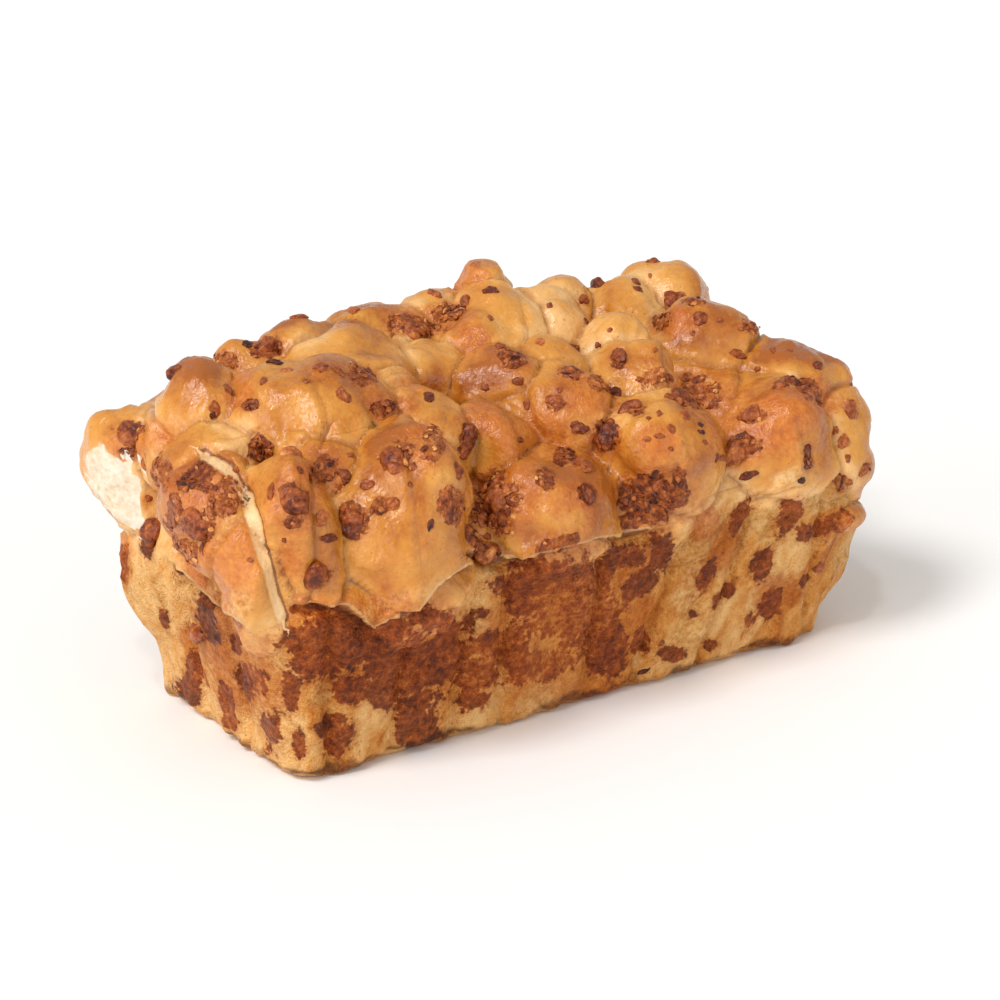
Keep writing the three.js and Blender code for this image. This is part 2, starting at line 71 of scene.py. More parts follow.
# ---- driving sizes (mm) ----------------------------------------------------------------
BASE_LENGTH, BASE_WIDTH = 208.0, 88.0     # inside of the pan's bottom
RIM_HEIGHT, RIM_SPREAD = 58.0, 11.0       # where the dough leaves the pan, and the taper
BASE_ROUND, BASE_CORNER = 5.0, 10.0       # rounding of the foot, and of the corners in plan
SHOULDER_INSET, SHOULDER_RISE = 46.0, 27.0    # how far the dome under the balls draws in and rises
CORE_TOP = RIM_HEIGHT + SHOULDER_RISE * 0.97  # where that dome is cut flat
LUMP = 0.045                              # unevenness of a ball, share of its radius
SEAM_DEPTH, SEAM_HALF_WIDTH = 1.8, 3.0
WALL_SWELL = 0.8                          # how far the walls swell between their seams
CREASE_SOFTNESS = 3.2                     # how far a crease between two balls is filled
SWERVE, SWERVE_FINE = 1.5, 0.6            # how far the risen dough is out of round
COARSE_VOXEL, SKIN_VOXEL = 2.4, 1.35      # spacing of the skin's points
BALL_GRID = (56, 40)                      # points round and from pole to pole
WALL_STEP = 2.5                           # spacing of the pressed walls' points

# Balls of dough: name, centre, radii, and lean in degrees (from the +Z axis towards +X).
BALLS = [
    ("front_corner_left", -117, -20, 85, 14, 16, 18, -10),
    ("front_corner_low", -111, -36, 66, 12, 14, 22, -16),
    ("front_1", -98, -38, 80, 13, 19, 29, -8),
    ("front_1_small", -84, -26, 95, 9, 13, 12, 0),
    ("front_2", -64, -40, 77, 25, 25, 31, 0),
    ("front_2_flap", -66, -48, 55, 22, 12, 10, 0),
    ("front_2_back", -40, -18, 92, 14, 16, 17, 0),
    ("front_3_back", -19, -24, 90, 12, 16, 15, 0),
    ("front_3", -9, -44, 73, 24, 19, 17, 0),
    ("front_4_back", 15, -18, 86, 15, 18, 18, 0),
    ("front_4", 40, -37, 80, 22, 24, 22, 0),
    ("front_4_top", 42, -18, 92, 12, 18, 18, 0),
    ("front_5", 83, -38, 72, 22, 22, 20, 0),
    ("front_corner_right", 112, -36, 67, 14, 20, 21, 0),
    ("right_top", 104, -22, 84, 18, 22, 17, 0),
    ("crown_1", -74, -2, 104, 25, 26, 18, 0),
    ("crown_2", -43, 0, 97, 12, 14, 12, 0),
    ("crown_3", -43, 20, 107, 22, 18, 11, 0),
    ("crown_4", -15, 16, 102, 12, 13, 11, 0),
    ("crown_5", 0, 2, 99, 12, 13, 12, 0),
    ("crown_6", 22, 2, 96, 12, 13, 12, 0),
    ("crown_7", 51, 6, 98, 12, 14, 16, 0),
    ("crown_8", 85, 2, 92, 18, 20, 17, 0),
    ("back_1", -99, 22, 104, 13, 15, 15, 0),
    ("back_2", -73, 38, 107, 10, 12, 10, 0),
    ("back_3", -52, 38, 108, 13, 15, 10, 0),
    ("back_4", -22, 40, 108, 15, 16, 10, 0),
    ("back_peak", 21, 43, 114, 6.5, 9, 11, 12),
    ("back_ridge", 0, 44, 107, 16, 10, 9, 0),
    ("back_5", 14, 26, 106, 20, 17, 13, 0),
    ("back_6", 38, 26, 104, 14, 16, 12, 0),
    ("back_7", 54, 44, 104, 10, 11, 10, 0),
    ("back_8", 74, 32, 98, 14, 17, 12, 0),
    ("back_9", 97, 40, 98, 15, 18, 14, 0),
    ("left_corner", -114, 44, 80, 12, 16, 18, 0),
    ("left_top", -106, 24, 92, 10, 12, 12, 0),
    ("left_middle", -104, 2, 91, 12, 14, 14, 0),
    ("left_wall_far", -105, 32, 48, 14, 19, 24, 0),
    ("rear_1", -90, 44, 76, 24, 16, 26, 0),
    ("rear_2", -46, 47, 80, 28, 17, 30, 0),
    ("rear_3", 0, 47, 80, 26, 17, 30, 0),
    ("rear_4", 46, 47, 76, 26, 17, 28, 0),
    ("rear_5", 90, 43, 74, 24, 18, 26, 0),
    ("under_left", -48, 20, 89, 46, 27, 17, 0),
    ("under_right", 34, 20, 86, 60, 27, 16, 0),
    ("valley_right", 68, -18, 79, 18, 18, 14, 0),
    ("valley_left", -86, 18, 96, 16, 16, 14, 0),
    ("valley_back", 36, 45, 95, 14, 12, 14, 0),
    ("valley_front", 0, -12, 87, 14, 14, 11, 0),
    ("right_middle", 107, 4, 66, 18, 20, 24, 0),
    ("right_rear", 104, 32, 66, 18, 20, 24, 0),
    ("right_wall_near", 101, -26, 32, 24, 22, 27, 0),
    ("right_wall_far", 98, 18, 34, 23, 22, 26, 0),
    ("right_flap", 107, -46, 46, 9, 9, 3.5, 12),
]

# Upright seams in the walls: side, place at the base, place at the rim.
SEAMS = [
    ("front", -92, -97), ("front", -70, -69), ("front", -46, -44), ("front", -28, -31),
    ("front", 6, 4), ("front", 24, 40), ("front", 50, 66), ("front", 97, 93),
    ("back", -84, -80), ("back", -52, -55), ("back", -20, -17), ("back", 14, 18),
    ("back", 48, 44), ("back", 82, 86),
    ("left", -16, -21), ("left", 12, 9), ("left", 34, 38),
    ("right", -4, -2), ("right", 30, 34),
]


# ---- numbers and noise -----------------------------------------------------------------
def smooth(low, high, x):
    """0 below low, 1 above high, with an S-shaped rise between them."""
    t = np.clip((x - low) / (high - low), 0.0, 1.0)
    return t * t * (3.0 - 2.0 * t)


def bell(x, width):
    """exp(-(x / width)^2): 1 at x = 0, near 0 beyond twice the width."""
    return np.exp(-(x / width) ** 2)


def lattice_value(cells, seed):
    """A fixed value from -1 to 1 for each whole-number cell, from a sine hash."""
    mixed = cells @ np.array([12.9898, 78.233, 37.719]) + seed * 4.127
    return 2.0 * np.modf(np.abs(np.sin(mixed) * 43758.5453))[0] - 1.0


def noise(points, size, seed):
    """Smooth value noise from -1 to 1: lattice values size mm apart, blended by an S curve
    along each of the three axes."""
    scaled = points / size
    cell = np.floor(scaled)
    t = scaled - cell
    t = t * t * (3.0 - 2.0 * t)
    total = np.zeros(len(points))
    for dx in (0, 1):
        for dy in (0, 1):
            for dz in (0, 1):
                weight = (np.abs(1 - dx - t[:, 0]) * np.abs(1 - dy - t[:, 1])
                          * np.abs(1 - dz - t[:, 2]))
                total += weight * lattice_value(cell + (dx, dy, dz), seed)
    return total


def layered_noise(points, size, seed, layers=3):
    """Noise plus finer copies of it, each half the size and a bit over half the height."""
    total = np.zeros(len(points))
    height = 1.0
    for layer in range(layers):
        total += height * noise(points + 17.3 * layer, size / 2 ** layer, seed + layer)
        height *= 0.55
    return total


# ---- meshes ----------------------------------------------------------------------------
def quads(rows, columns, first=0):
    """Faces of a grid of rows that each close on themselves, row after row upwards."""
    row, column = np.meshgrid(np.arange(rows - 1), np.arange(columns), indexing="ij")
    after = (column + 1) % columns
    low, high = first + row * columns, first + (row + 1) * columns
    return np.stack([low + column, low + after, high + after, high + column], -1).reshape(-1, 4)


def fan(ring, hub, outward):
    """Triangles from a closed ring of point numbers to one hub point."""
    after = np.roll(ring, -1)
    pair = (ring, after) if outward else (after, ring)
    return np.stack([pair[0], pair[1], np.full(len(ring), hub)], -1)


def make_mesh(name, points_mm, faces):
    mesh = bpy.data.meshes.new(name)
    mesh.from_pydata((np.asarray(points_mm) * MM).tolist(), [], [list(face) for face in faces])
    mesh.update()
    return mesh


def linked(name, data):
    """An object of the scene, at the origin, with this data."""
    made = bpy.data.objects.new(name, data)
    bpy.context.scene.collection.objects.link(made)
    return made


def make_piece(name, mesh, material, rounded=True):
    """An object with its material, shaded round or with flat facets."""
    mesh.materials.append(material)
    mesh.polygons.foreach_set("use_smooth", [rounded] * len(mesh.polygons))
    return linked(name, mesh)


def modified(holder):
    """An object's mesh with its modifiers applied. The object is removed."""
    graph = bpy.context.evaluated_depsgraph_get()
    mesh = bpy.data.meshes.new_from_object(holder.evaluated_get(graph))
    bpy.data.objects.remove(holder)
    return mesh


def tree_of(mesh):
    """A search tree over the mesh's faces, in mm."""
    faces = [tuple(face.vertices) for face in mesh.polygons]
    return BVHTree.FromPolygons(mesh_points(mesh).tolist(), faces)


def mesh_points(mesh):
    points = np.empty(len(mesh.vertices) * 3)
    mesh.vertices.foreach_get("co", points)
    return points.reshape(-1, 3) / MM


def mesh_normals(mesh):
    normals = np.empty(len(mesh.vertices) * 3)
    mesh.vertex_normals.foreach_get("vector", normals)
    return normals.reshape(-1, 3)


def set_points(mesh, points_mm):
    mesh.vertices.foreach_set("co", (points_mm * MM).ravel())
    mesh.update()


def set_field(mesh, name, values):
    """One number per point, which a material reads by name."""
    layer = mesh.attributes.new(name, "FLOAT", "POINT")
    layer.data.foreach_set("value", values.astype(np.float32))


# ---- the dough's form ------------------------------------------------------------------
def lumpiness(direction, number):
    """Unevenness of a ball in a direction, as a share of its radius: three sine waves."""
    x, y, z = direction[..., 0], direction[..., 1], direction[..., 2]
    return LUMP * (np.sin(2.3 * x + 1.7 * number)
                   + 0.8 * np.sin(3.1 * y + z + 2.9 * number)
                   + 0.6 * np.sin(4.7 * z + 2 * x + 0.7 * number))


def lean_matrix(degrees):
    """Rotation about the Y axis."""
    c, s = math.cos(math.radians(degrees)), math.sin(math.radians(degrees))
    return np.array([[c, 0, s], [0, 1, 0], [-s, 0, c]])


def ball_surface(row, number):
    """A ball of dough: directions on a sphere times three radii, swollen by lumpiness,
    leaned about Y and moved to its centre."""
    _, x, y, z, rx, ry, rz, lean = row
    columns, rows = BALL_GRID
    turn = np.linspace(0, 2 * np.pi, columns, endpoint=False)
    drop = np.linspace(np.pi, 0, rows)[1:-1]
    drop, turn = np.meshgrid(drop, turn, indexing="ij")
    grid = np.stack([np.sin(drop) * np.cos(turn), np.sin(drop) * np.sin(turn), np.cos(drop)], -1)
    direction = np.vstack([grid.reshape(-1, 3), [[0, 0, -1], [0, 0, 1]]])
    swell = 1 + lumpiness(direction, number)
    points = (direction * (rx, ry, rz) * swell[:, None]) @ lean_matrix(lean).T + (x, y, z)
    count = (rows - 2) * columns
    faces = [quads(rows - 2, columns)]
    caps = [fan(np.arange(columns), count, False),
            fan(np.arange(count - columns, count), count + 1, True)]
    return points, faces + caps


def wall_spread(z):
    """How far the dough stands out from the base outline at height z: the pan's taper,
    less the rounding at the foot, less the dome's pull inwards above the rim."""
    rise = np.minimum(z, RIM_HEIGHT) * RIM_SPREAD / RIM_HEIGHT
    foot = np.maximum(BASE_ROUND - z, 0)
    above = np.maximum(z - RIM_HEIGHT, 0) / SHOULDER_RISE
    return (rise - (BASE_ROUND - np.sqrt(BASE_ROUND ** 2 - foot ** 2))
            - SHOULDER_INSET * (1 - np.sqrt(1 - above ** 2)))


def rounded_ring(half_length, half_width, corner, count):
    """Evenly spaced points round a rectangle with round corners: straight runs and
    quarter circles walked by length."""
    straight = np.array([half_length - corner, half_width - corner])
    arc = corner * np.pi / 2
    runs = np.array([2 * straight[1], arc, 2 * straight[0], arc] * 2)
    ends = np.cumsum(runs)
    along = ends[-1] * np.arange(count) / count
    run = np.searchsorted(ends, along, side="right")
    along = along - (ends - runs)[run]
    quarter = run // 2
    bent = run % 2 == 1
    angle = quarter * np.pi / 2 + np.where(bent, along / corner, 0)
    out = np.stack([np.cos(angle), np.sin(angle)], -1)
    slide = along - runs[run] / 2
    corners = np.array([[1, 1], [-1, 1], [-1, -1], [1, -1]])[quarter] * straight
    flat = np.stack([np.where(np.abs(out[:, 0]) > 0.5, out[:, 0] * straight[0], -out[:, 1] * slide),
                     np.where(np.abs(out[:, 1]) > 0.5, out[:, 1] * straight[1], out[:, 0] * slide)], -1)
    return np.where(bent[:, None], corners, flat) + out * corner


def pressed_core():
    """The body under the balls: a rounded rectangle carried upwards, wider by wall_spread
    at each height, closed by a fan at its foot and its top."""
    heights = np.concatenate([[0, 0.3, 1, 2.2, 3.6], np.arange(BASE_ROUND, RIM_HEIGHT, WALL_STEP),
                              RIM_HEIGHT + (CORE_TOP - RIM_HEIGHT) * np.linspace(0, 1, 12)])
    count = int(2 * (BASE_LENGTH + BASE_WIDTH) / WALL_STEP)
    rows = []
    for z in heights:
        spread = float(wall_spread(z))
        corner = max(BASE_CORNER + spread, 4)
        flat = rounded_ring(BASE_LENGTH / 2 + spread, BASE_WIDTH / 2 + spread, corner, count)
        rows.append(np.column_stack([flat, np.full(count, z)]))
    points = np.vstack(rows + [[[0, 0, heights[0]], [0, 0, heights[-1]]]])
    total = len(heights) * count
    faces = [quads(len(heights), count),
             fan(np.arange(count), total, False),
             fan(np.arange(total - count, total), total + 1, True)]
    return points, faces


def joined(parts):
    """Several (points, faces) as one, with the point numbers moved on."""
    points, faces, first = [], [], 0
    for part_points, part_faces in parts:
        points.append(part_points)
        for block in part_faces:
            faces.extend((block + first).tolist())
        first += len(part_points)
    return np.vstack(points), faces


def remeshed(mesh, voxel_mm):
    """The mesh's outer skin with evenly spaced points, by a voxel remesh."""
    mould = linked("mould", mesh)
    remesh = mould.modifiers.new("even", "REMESH")
    remesh.mode = "VOXEL"
    remesh.voxel_size = voxel_mm * MM
    return modified(mould)


def swerve(points):
    """How far the dough was pushed aside as it rose: sums of sine waves along the axes,
    fading out below the rim, where the pan held it."""
    x, y, z = points.T
    waves = [(np.sin(y / 9.5 + 0.8) + 0.8 * np.sin(z / 8 + x / 21 + 2.1), np.sin(y / 4.1 + z / 5)),
             (np.sin(z / 9 + 1.9) + 0.8 * np.sin(x / 8.5 + y / 19 + 0.4), np.sin(x / 3.9 + 1.2)),
             (np.sin(x / 10 + 2.7) + 0.8 * np.sin(y / 8 + z / 23 + 1.1), np.sin(x / 4.3 - y / 4.7))]
    push = np.stack([SWERVE * broad + SWERVE_FINE * fine for broad, fine in waves], -1)
    return push * smooth(RIM_HEIGHT - 8, RIM_HEIGHT + 12, z)[:, None]


def ball_distances(points):
    """For each ball, roughly how far each point lies outside its surface (the distance
    from the centre, times one less the ball's own radius that way over it), and the way out."""
    distances, ways = [], []
    for number, (_, x, y, z, rx, ry, rz, lean) in enumerate(BALLS):
        offset = points - (x, y, z)
        turn = lean_matrix(lean)
        scaled = (offset @ turn) / (rx, ry, rz)
        reach = np.linalg.norm(scaled, axis=1)
        swell = 1 + lumpiness(scaled / reach[:, None], number)
        distances.append(np.linalg.norm(offset, axis=1) * (1 - swell / reach))
        way = (scaled / (rx, ry, rz)) @ turn.T
        ways.append(way / np.linalg.norm(way, axis=1)[:, None])
    return np.stack(distances, 1), np.stack(ways, 1)


def rounded_meeting(first, second, radius):
    """Distance outside the round-cornered meeting of two faces, each given by its own."""
    first, second = first + radius, second + radius
    return (np.hypot(np.maximum(first, 0), np.maximum(second, 0))
            + np.minimum(np.maximum(first, second), 0) - radius)


def seam_depths(points, side):
    """Depth of the upright seams at each point: a bell across each seam on its own side."""
    depth = np.zeros(len(points))
    for name, low, high in SEAMS:
        along = points[:, 0] if name in ("front", "back") else points[:, 1]
        centre = low + (high - low) * points[:, 2] / RIM_HEIGHT
        depth += (side == SIDE_NAMES.index(name)) * SEAM_DEPTH * bell(along - centre, SEAM_HALF_WIDTH)
    return depth


def core_distance(points):
    """How far each point lies outside the body that the pan pressed: a rounded rectangle
    in plan, wider by wall_spread at each height, dented by the seams, with a rounded foot."""
    x, y, z = points.T
    spread = wall_spread(np.clip(z, BASE_ROUND, CORE_TOP))
    spread -= np.maximum(BASE_ROUND - z, 0) * RIM_SPREAD / RIM_HEIGHT
    beyond_x, beyond_y = np.abs(x) - BASE_LENGTH / 2 - spread, np.abs(y) - BASE_WIDTH / 2 - spread
    side = np.where(beyond_y > beyond_x, (y > 0) * 1, 2 + (x > 0))
    swell = WALL_SWELL * np.sin(x / 9 + y / 13 + 2) * np.sin(z / 11 + x / 31 + 0.6)
    wall = (rounded_meeting(beyond_x, beyond_y, np.maximum(BASE_CORNER + spread, 4))
            + (seam_depths(points, side) - swell) * np.clip(z / 12, 0, 1))
    return np.maximum(rounded_meeting(wall, -z, BASE_ROUND), z - CORE_TOP)


def dough_distance(points):
    """How far each point lies outside the dough's skin (below 0 within it), the way out,
    and the distances it comes from. Balls and core are blended by a soft minimum,
    -k log(sum(exp(-distance / k))), which rounds the creases between them."""
    pushed = points + swerve(points)
    balls, ways = ball_distances(pushed)
    core = core_distance(pushed)
    step = 0.01
    core_way = np.stack([core_distance(pushed + step * axis) - core for axis in np.eye(3)], -1) / step
    each = np.column_stack([balls, core])
    ways = np.concatenate([ways, core_way[:, None, :]], 1)
    least = each.min(1, keepdims=True)
    share = np.exp((least - each) / CREASE_SOFTNESS)
    total = share.sum(1)
    out = (ways * share[:, :, None]).sum(1)
    out /= np.maximum(np.linalg.norm(out, axis=1), 0.2)[:, None]
    return least[:, 0] - CREASE_SOFTNESS * np.log(total), out, each


def settled(mesh, steps):
    """Moves the points along the way out until they lie on the blended skin."""
    for _ in range(steps):
        points = mesh_points(mesh)
        distance, out, _ = dough_distance(points)
        points = points - out * np.clip(distance, -2.5, 2.5)[:, None]
        points[:, 2] = np.maximum(points[:, 2], 0)
        set_points(mesh, points)
    return mesh


def rough_skin():
    """One closed skin round the core and all balls: a coarse skin of all their surfaces,
    settled on the blended form, then the same with evenly spaced fine points."""
    parts = [pressed_core()] + [ball_surface(row, number) for number, row in enumerate(BALLS)]
    coarse = settled(remeshed(make_mesh("mould", *joined(parts)), COARSE_VOXEL), 5)
    return settled(remeshed(coarse, SKIN_VOXEL), 2)


# ---- the photo's view ------------------------------------------------------------------
AZIMUTH, ELEVATION = math.radians(-34.0), math.radians(21.65)
CAMERA_DISTANCE = 1158.7
LENS, SENSOR = 126.0, 36.0
PHOTO_SIZE = 1000                          # pixels along each side
FOCAL_PIXELS = PHOTO_SIZE * LENS / SENSOR
BACK = np.array([math.sin(AZIMUTH) * math.cos(ELEVATION), -math.cos(AZIMUTH) * math.cos(ELEVATION),
                 math.sin(ELEVATION)])
RIGHT = np.array([math.cos(AZIMUTH), math.sin(AZIMUTH), 0.0])
UP = np.cross(BACK, RIGHT)
AIM = np.array([0.0, 0.0, 55.0]) + 1.8 * RIGHT + 3.4 * UP    # the point in the photo's middle
CAMERA = AIM + CAMERA_DISTANCE * BACK


def photo_way(x, y):
    """The direction in which the camera sees a pixel of the photo."""
    half = PHOTO_SIZE / 2
    way = -BACK + RIGHT * (x - half) / FOCAL_PIXELS - UP * (y - half) / FOCAL_PIXELS
    return way / np.linalg.norm(way)


def photo_place(points):
    """The photo's pixel at which each point shows, and the millimetres that a pixel spans
    at its depth."""
    offset = points - CAMERA
    depth = -(offset @ BACK)
    half = PHOTO_SIZE / 2
    place = np.stack([half + FOCAL_PIXELS * (offset @ RIGHT) / depth,
                      half - FOCAL_PIXELS * (offset @ UP) / depth], -1)
    return place, depth / FOCAL_PIXELS


def hit_mm(tree, start, way):
    """Where a ray meets the dough, and the way out there."""
    point, normal, _, _ = tree.ray_cast(Vector(start), Vector(way))
    return (np.array(point), np.array(normal)) if point else None


# ---- marks seen in the photo -----------------------------------------------------------
# Each mark: the photo's pixel at its middle (x, y), half its width and half its height as
# seen (mm), its tilt in degrees clockwise, and how dark it is (0 light to 1 charred). The
# last two are 0 where a row leaves them out.
MARKS = {
    # chopped pepperoni lying flush in the skin
    "meat": [
        (129, 432, 5, 3.3, 0, .3), (126, 453, 3.3, 2.6, 0, .8), (164, 471, 4.6, 5.3, 0, .3),
        (175, 363, 4.6, 3, -40, .2), (267, 348, 5.3, 4, 0, .5), (249, 404, 3, 2, 0, .9),
        (226, 361, 5, 3, 0, .1), (360, 376, 4.6, 4, 0, .5), (382, 409, 4, 2.3, 0, .7),
        (198, 479, 6.3, 5.6, 0, .7), (227, 497, 5.3, 6, 0, .4), (194, 525, 6.6, 5, 0, .3),
        (188, 551, 5.3, 4.3, 20, .35), (174, 505, 3.3, 4, 0, .4), (171, 520, 2.6, 4, 0, .6),
        (264, 449, 4.6, 4, 0, .5), (297, 501, 4.6, 5, 0, .5), (293, 523, 3.3, 2.6, 0, .6),
        (317, 575, 3.6, 3, 0, .6), (324, 469, 4, 5.3, 20, .5), (397, 456, 5, 5.6, 0, .3),
        (353, 521, 5.6, 5, 0, .55), (382, 505, 2.6, 2.6, 0, .4), (450, 505, 3.6, 6.3, 0, .4),
        (470, 538, 3.3, 4.6, 0, .55), (431, 447, 2.6, 5.3, 0, .3), (468, 439, 2.6, 6, 0, .7),
        (496, 502, 7.3, 8.6, 0, .35), (489, 553, 4, 2, 0, .8), (545, 481, 3.3, 3.3, 30, .4),
        (564, 458, 4.6, 3.3, 30, .6), (587, 492, 4, 3, 0, .7), (606, 435, 4.6, 5, 0, .6),
        (570, 376, 4.6, 2.6, 0, .7), (598, 386, 4.6, 2.6, 20, .4), (555, 407, 2.6, 2.3, 0, .5),
        (635, 407, 3.3, 2.3, 0, .5), (511, 359, 4.6, 3.3, 0, .6), (652, 498, 11, 7.3, 0, .65),
        (414, 327, 10, 3.3, 0, .4), (388, 305, 4, 2, 0, .4), (453, 313, 6, 3.3, 0, .4),
        (516, 281, 5.3, 1.6, 0, .5), (575, 349, 2.3, 2.6, 0, .7), (618, 360, 2.4, 3.6, 0, .7),
        (662, 322, 4, 3.3, -30, .4), (694, 305, 4, 1.6, 0, .4), (747, 327, 4, 2.6, 0, .4),
        (700, 390, 7.3, 5.3, 30, .3), (752, 417, 5.3, 2.6, 0, .3), (747, 444, 6, 4, 0, .6),
        (812, 396, 5.3, 4.6, 30, .45), (851, 408, 2.6, 3.3, 0, .3), (808, 458, 2, 4, 0, .8),
        (863, 468, 2.6, 1.6, -40, .4), (841, 483, 3, 2.6, -50, .4), (560, 540, 7.3, 2.6, -20, .5),
        (680, 480, 3, 5, 0, .6), (630, 520, 6, 2.4, -25, .6),
    ],
    # orange fat that ran out of it
    "oil": [
        (235, 560, 8, 12), (290, 560, 5, 8), (520, 440, 9, 7), (480, 420, 8, 6), (660, 440, 7, 6),
        (575, 500, 9, 5, -15), (640, 560, 12, 4, -15), (700, 520, 6, 5), (224, 363, 8, 5),
        (200, 490, 13, 12), (190, 540, 11, 11), (297, 500, 8, 12), (425, 440, 7, 9), (420, 385, 10, 4),
        (473, 342, 7, 5), (425, 322, 18, 6), (550, 434, 12, 7, 30), (500, 500, 11, 12),
        (590, 400, 14, 8), (600, 440, 8, 8), (650, 495, 15, 10), (705, 388, 16, 8, 20),
        (760, 425, 18, 10), (790, 410, 12, 9), (735, 448, 10, 7), (815, 400, 9, 7), (470, 275, 7, 7),
        (390, 408, 9, 5), (240, 385, 5, 8), (325, 470, 7, 8), (140, 440, 11, 6), (675, 325, 8, 5),
        (123, 564, 4, 7), (188, 639, 5, 6), (545, 620, 20, 18), (380, 640, 28, 15), (600, 640, 14, 14),
        (520, 665, 16, 10), (830, 526, 8, 5), (217, 630, 10, 14), (200, 575, 4, 14, -15),
        (720, 560, 5, 12, 30), (250, 680, 16, 12), (565, 628, 32, 25), (484, 664, 11, 15),
        (600, 690, 15, 7), (640, 610, 7, 9), (315, 615, 10, 7), (440, 660, 18, 14), (780, 590, 10, 8),
    ],
    # meat and fat fried on the pan's walls, and painted shadow under the crown's ledges
    "rust_and_shadow": [
        (313, 649, 9, 9, 0, .5), (367, 644, 7, 7, 0, .7), (407, 665, 9, 13, 0, .5),
        (447, 639, 4, 8, 0, .5), (415, 727, 6.6, 7, 0, .6), (335, 732, 4.6, 6, 0, .5),
        (321, 727, 2.6, 2.6, 0, .9), (299, 745, 2, 5, 0, .5), (439, 673, 4.6, 4.6, 0, .9),
        (565, 598, 15, 13, 0, .1), (607, 654, 6.6, 8.6, 0, .5), (598, 666, 3, 3, 0, .9),
        (537, 666, 10, 5, 0, .2), (491, 645, 6, 4.6, 0, .5), (448, 666, 6.6, 6.6, 0, .5),
        (429, 623, 4, 3.3, 0, .5), (481, 611, 1.8, 1.8, 0, .7), (469, 620, 1.8, 3.3, 0, .6),
        (580, 703, 3.4, 2, 0, .9), (313, 612, 6, 3.3, 0, .3), (350, 620, 9, 4, 0, .5),
        (638, 583, 5.6, 4, -35, .7), (662, 553, 4, 6, 0, .7), (705, 574, 2.6, 7.3, 30, .6),
        (742, 516, 2.2, 5.3, 25, .5), (762, 565, 3.3, 5.3, 25, .6), (730, 590, 2, 3.3, 20, .5),
        (714, 602, 2, 4, 20, .5), (788, 516, 3, 6.6, 20, .5), (802, 531, 3.3, 3.3, 0, .6),
        (819, 529, 4.6, 3.3, 0, .4), (836, 521, 4.5, 4, 0, .2), (803, 580, 2.3, 2.6, 0, .5),
        (770, 605, 4, 4.6, 0, .5), (750, 620, 2.3, 4.6, 20, .5), (672, 654, 4.6, 2.6, 0, .6),
        (710, 645, 2, 1.6, 0, .6), (691, 613, 2, 1.6, 0, .8), (148, 544, 2.6, 4.6, 0, 1),
        (175, 564, 1.8, 4.6, -15, .9), (207, 615, 4, 9.3, -10, .9), (165, 619, 1.8, 4, 0, .5),
        (236, 645, 2, 4, 0, .6), (123, 564, 3, 6, 0, .2), (191, 671, 3.3, 7.3, 0, .5),
        (228, 697, 3.3, 6.6, 0, .5), (255, 681, 6, 5.3, 0, .4), (271, 729, 4, 8, 0, .5),
        (188, 691, 6, 3.4, 30, .9), (640, 640, 3, 5, 0, .5), (520, 602, 3, 3, 0, .5),
        (385, 690, 6, 5, 0, .6), (475, 700, 5, 3, -20, .5), (350, 690, 4, 4, 0, .6),
        # The two flat rows under the crown's ledge, (552, 576) and (615, 562), are fried fat and also
        # painted shadow under the overhang.
        (290, 690, 3, 6, 0, .4), (552, 576, 17, 5, -8, .5), (615, 562, 9, 4, -15, .6),
        (520, 592, 5, 8, 0, .4), (594, 622, 5, 11, 0, .3), (505, 652, 7, 7, 0, .3),
        (480, 676, 7, 6, 0, .3),
    ],
    # pale stretches of wall that stayed soft and dry
    "cream": [
        (320, 695, 6, 6), (350, 735, 5, 6), (480, 680, 5, 6), (120, 520, 5, 7), (690, 570, 5, 9),
        (735, 545, 7, 7), (490, 580, 5, 9), (770, 540, 6, 6), (690, 630, 9, 5), (200, 590, 8, 10),
        (240, 610, 5, 8), (262, 660, 8, 3, -10), (400, 598, 20, 5, -18), (715, 520, 12, 5, -20),
        (790, 480, 10, 4, -10), (228, 648, 7, 9), (250, 702, 7, 6), (160, 590, 4, 8),
        (745, 500, 16, 5, -15), (700, 537, 13, 6, -30), (765, 520, 14, 6, -20), (822, 502, 10, 5, -10),
        (690, 600, 8, 9),
    ],
    # patches of the crown's skin painted paler
    "pale": [
        (520, 318, 16, 10), (660, 285, 12, 12), (655, 392, 7, 8), (630, 330, 12, 9),
        (430, 350, 16, 7, 10), (590, 340, 8, 8), (545, 290, 12, 5), (720, 480, 14, 5, -20),
        (440, 490, 4, 12), (500, 325, 10, 6), (850, 450, 7, 14), (230, 435, 9, 6), (620, 420, 6, 6),
        (330, 340, 12, 4), (560, 510, 8, 6), (800, 500, 12, 5), (320, 398, 8, 6), (800, 380, 6, 5),
    ],
    # torn crumb
    "crumb": [
        (108, 482, 8, 12, -18),
    ],
    # meat that stands up in a loose crumble
    "crumble": [
        (496, 502, 8, 9, 0, .3), (606, 436, 3.6, 3.8, 0, .4), (398, 452, 3.4, 3.6, 0, .3),
        (812, 396, 3.6, 3.2, 30, .4), (702, 386, 4, 3, 30, .3), (480, 545, 4, 3, 0, .5),
    ],
}
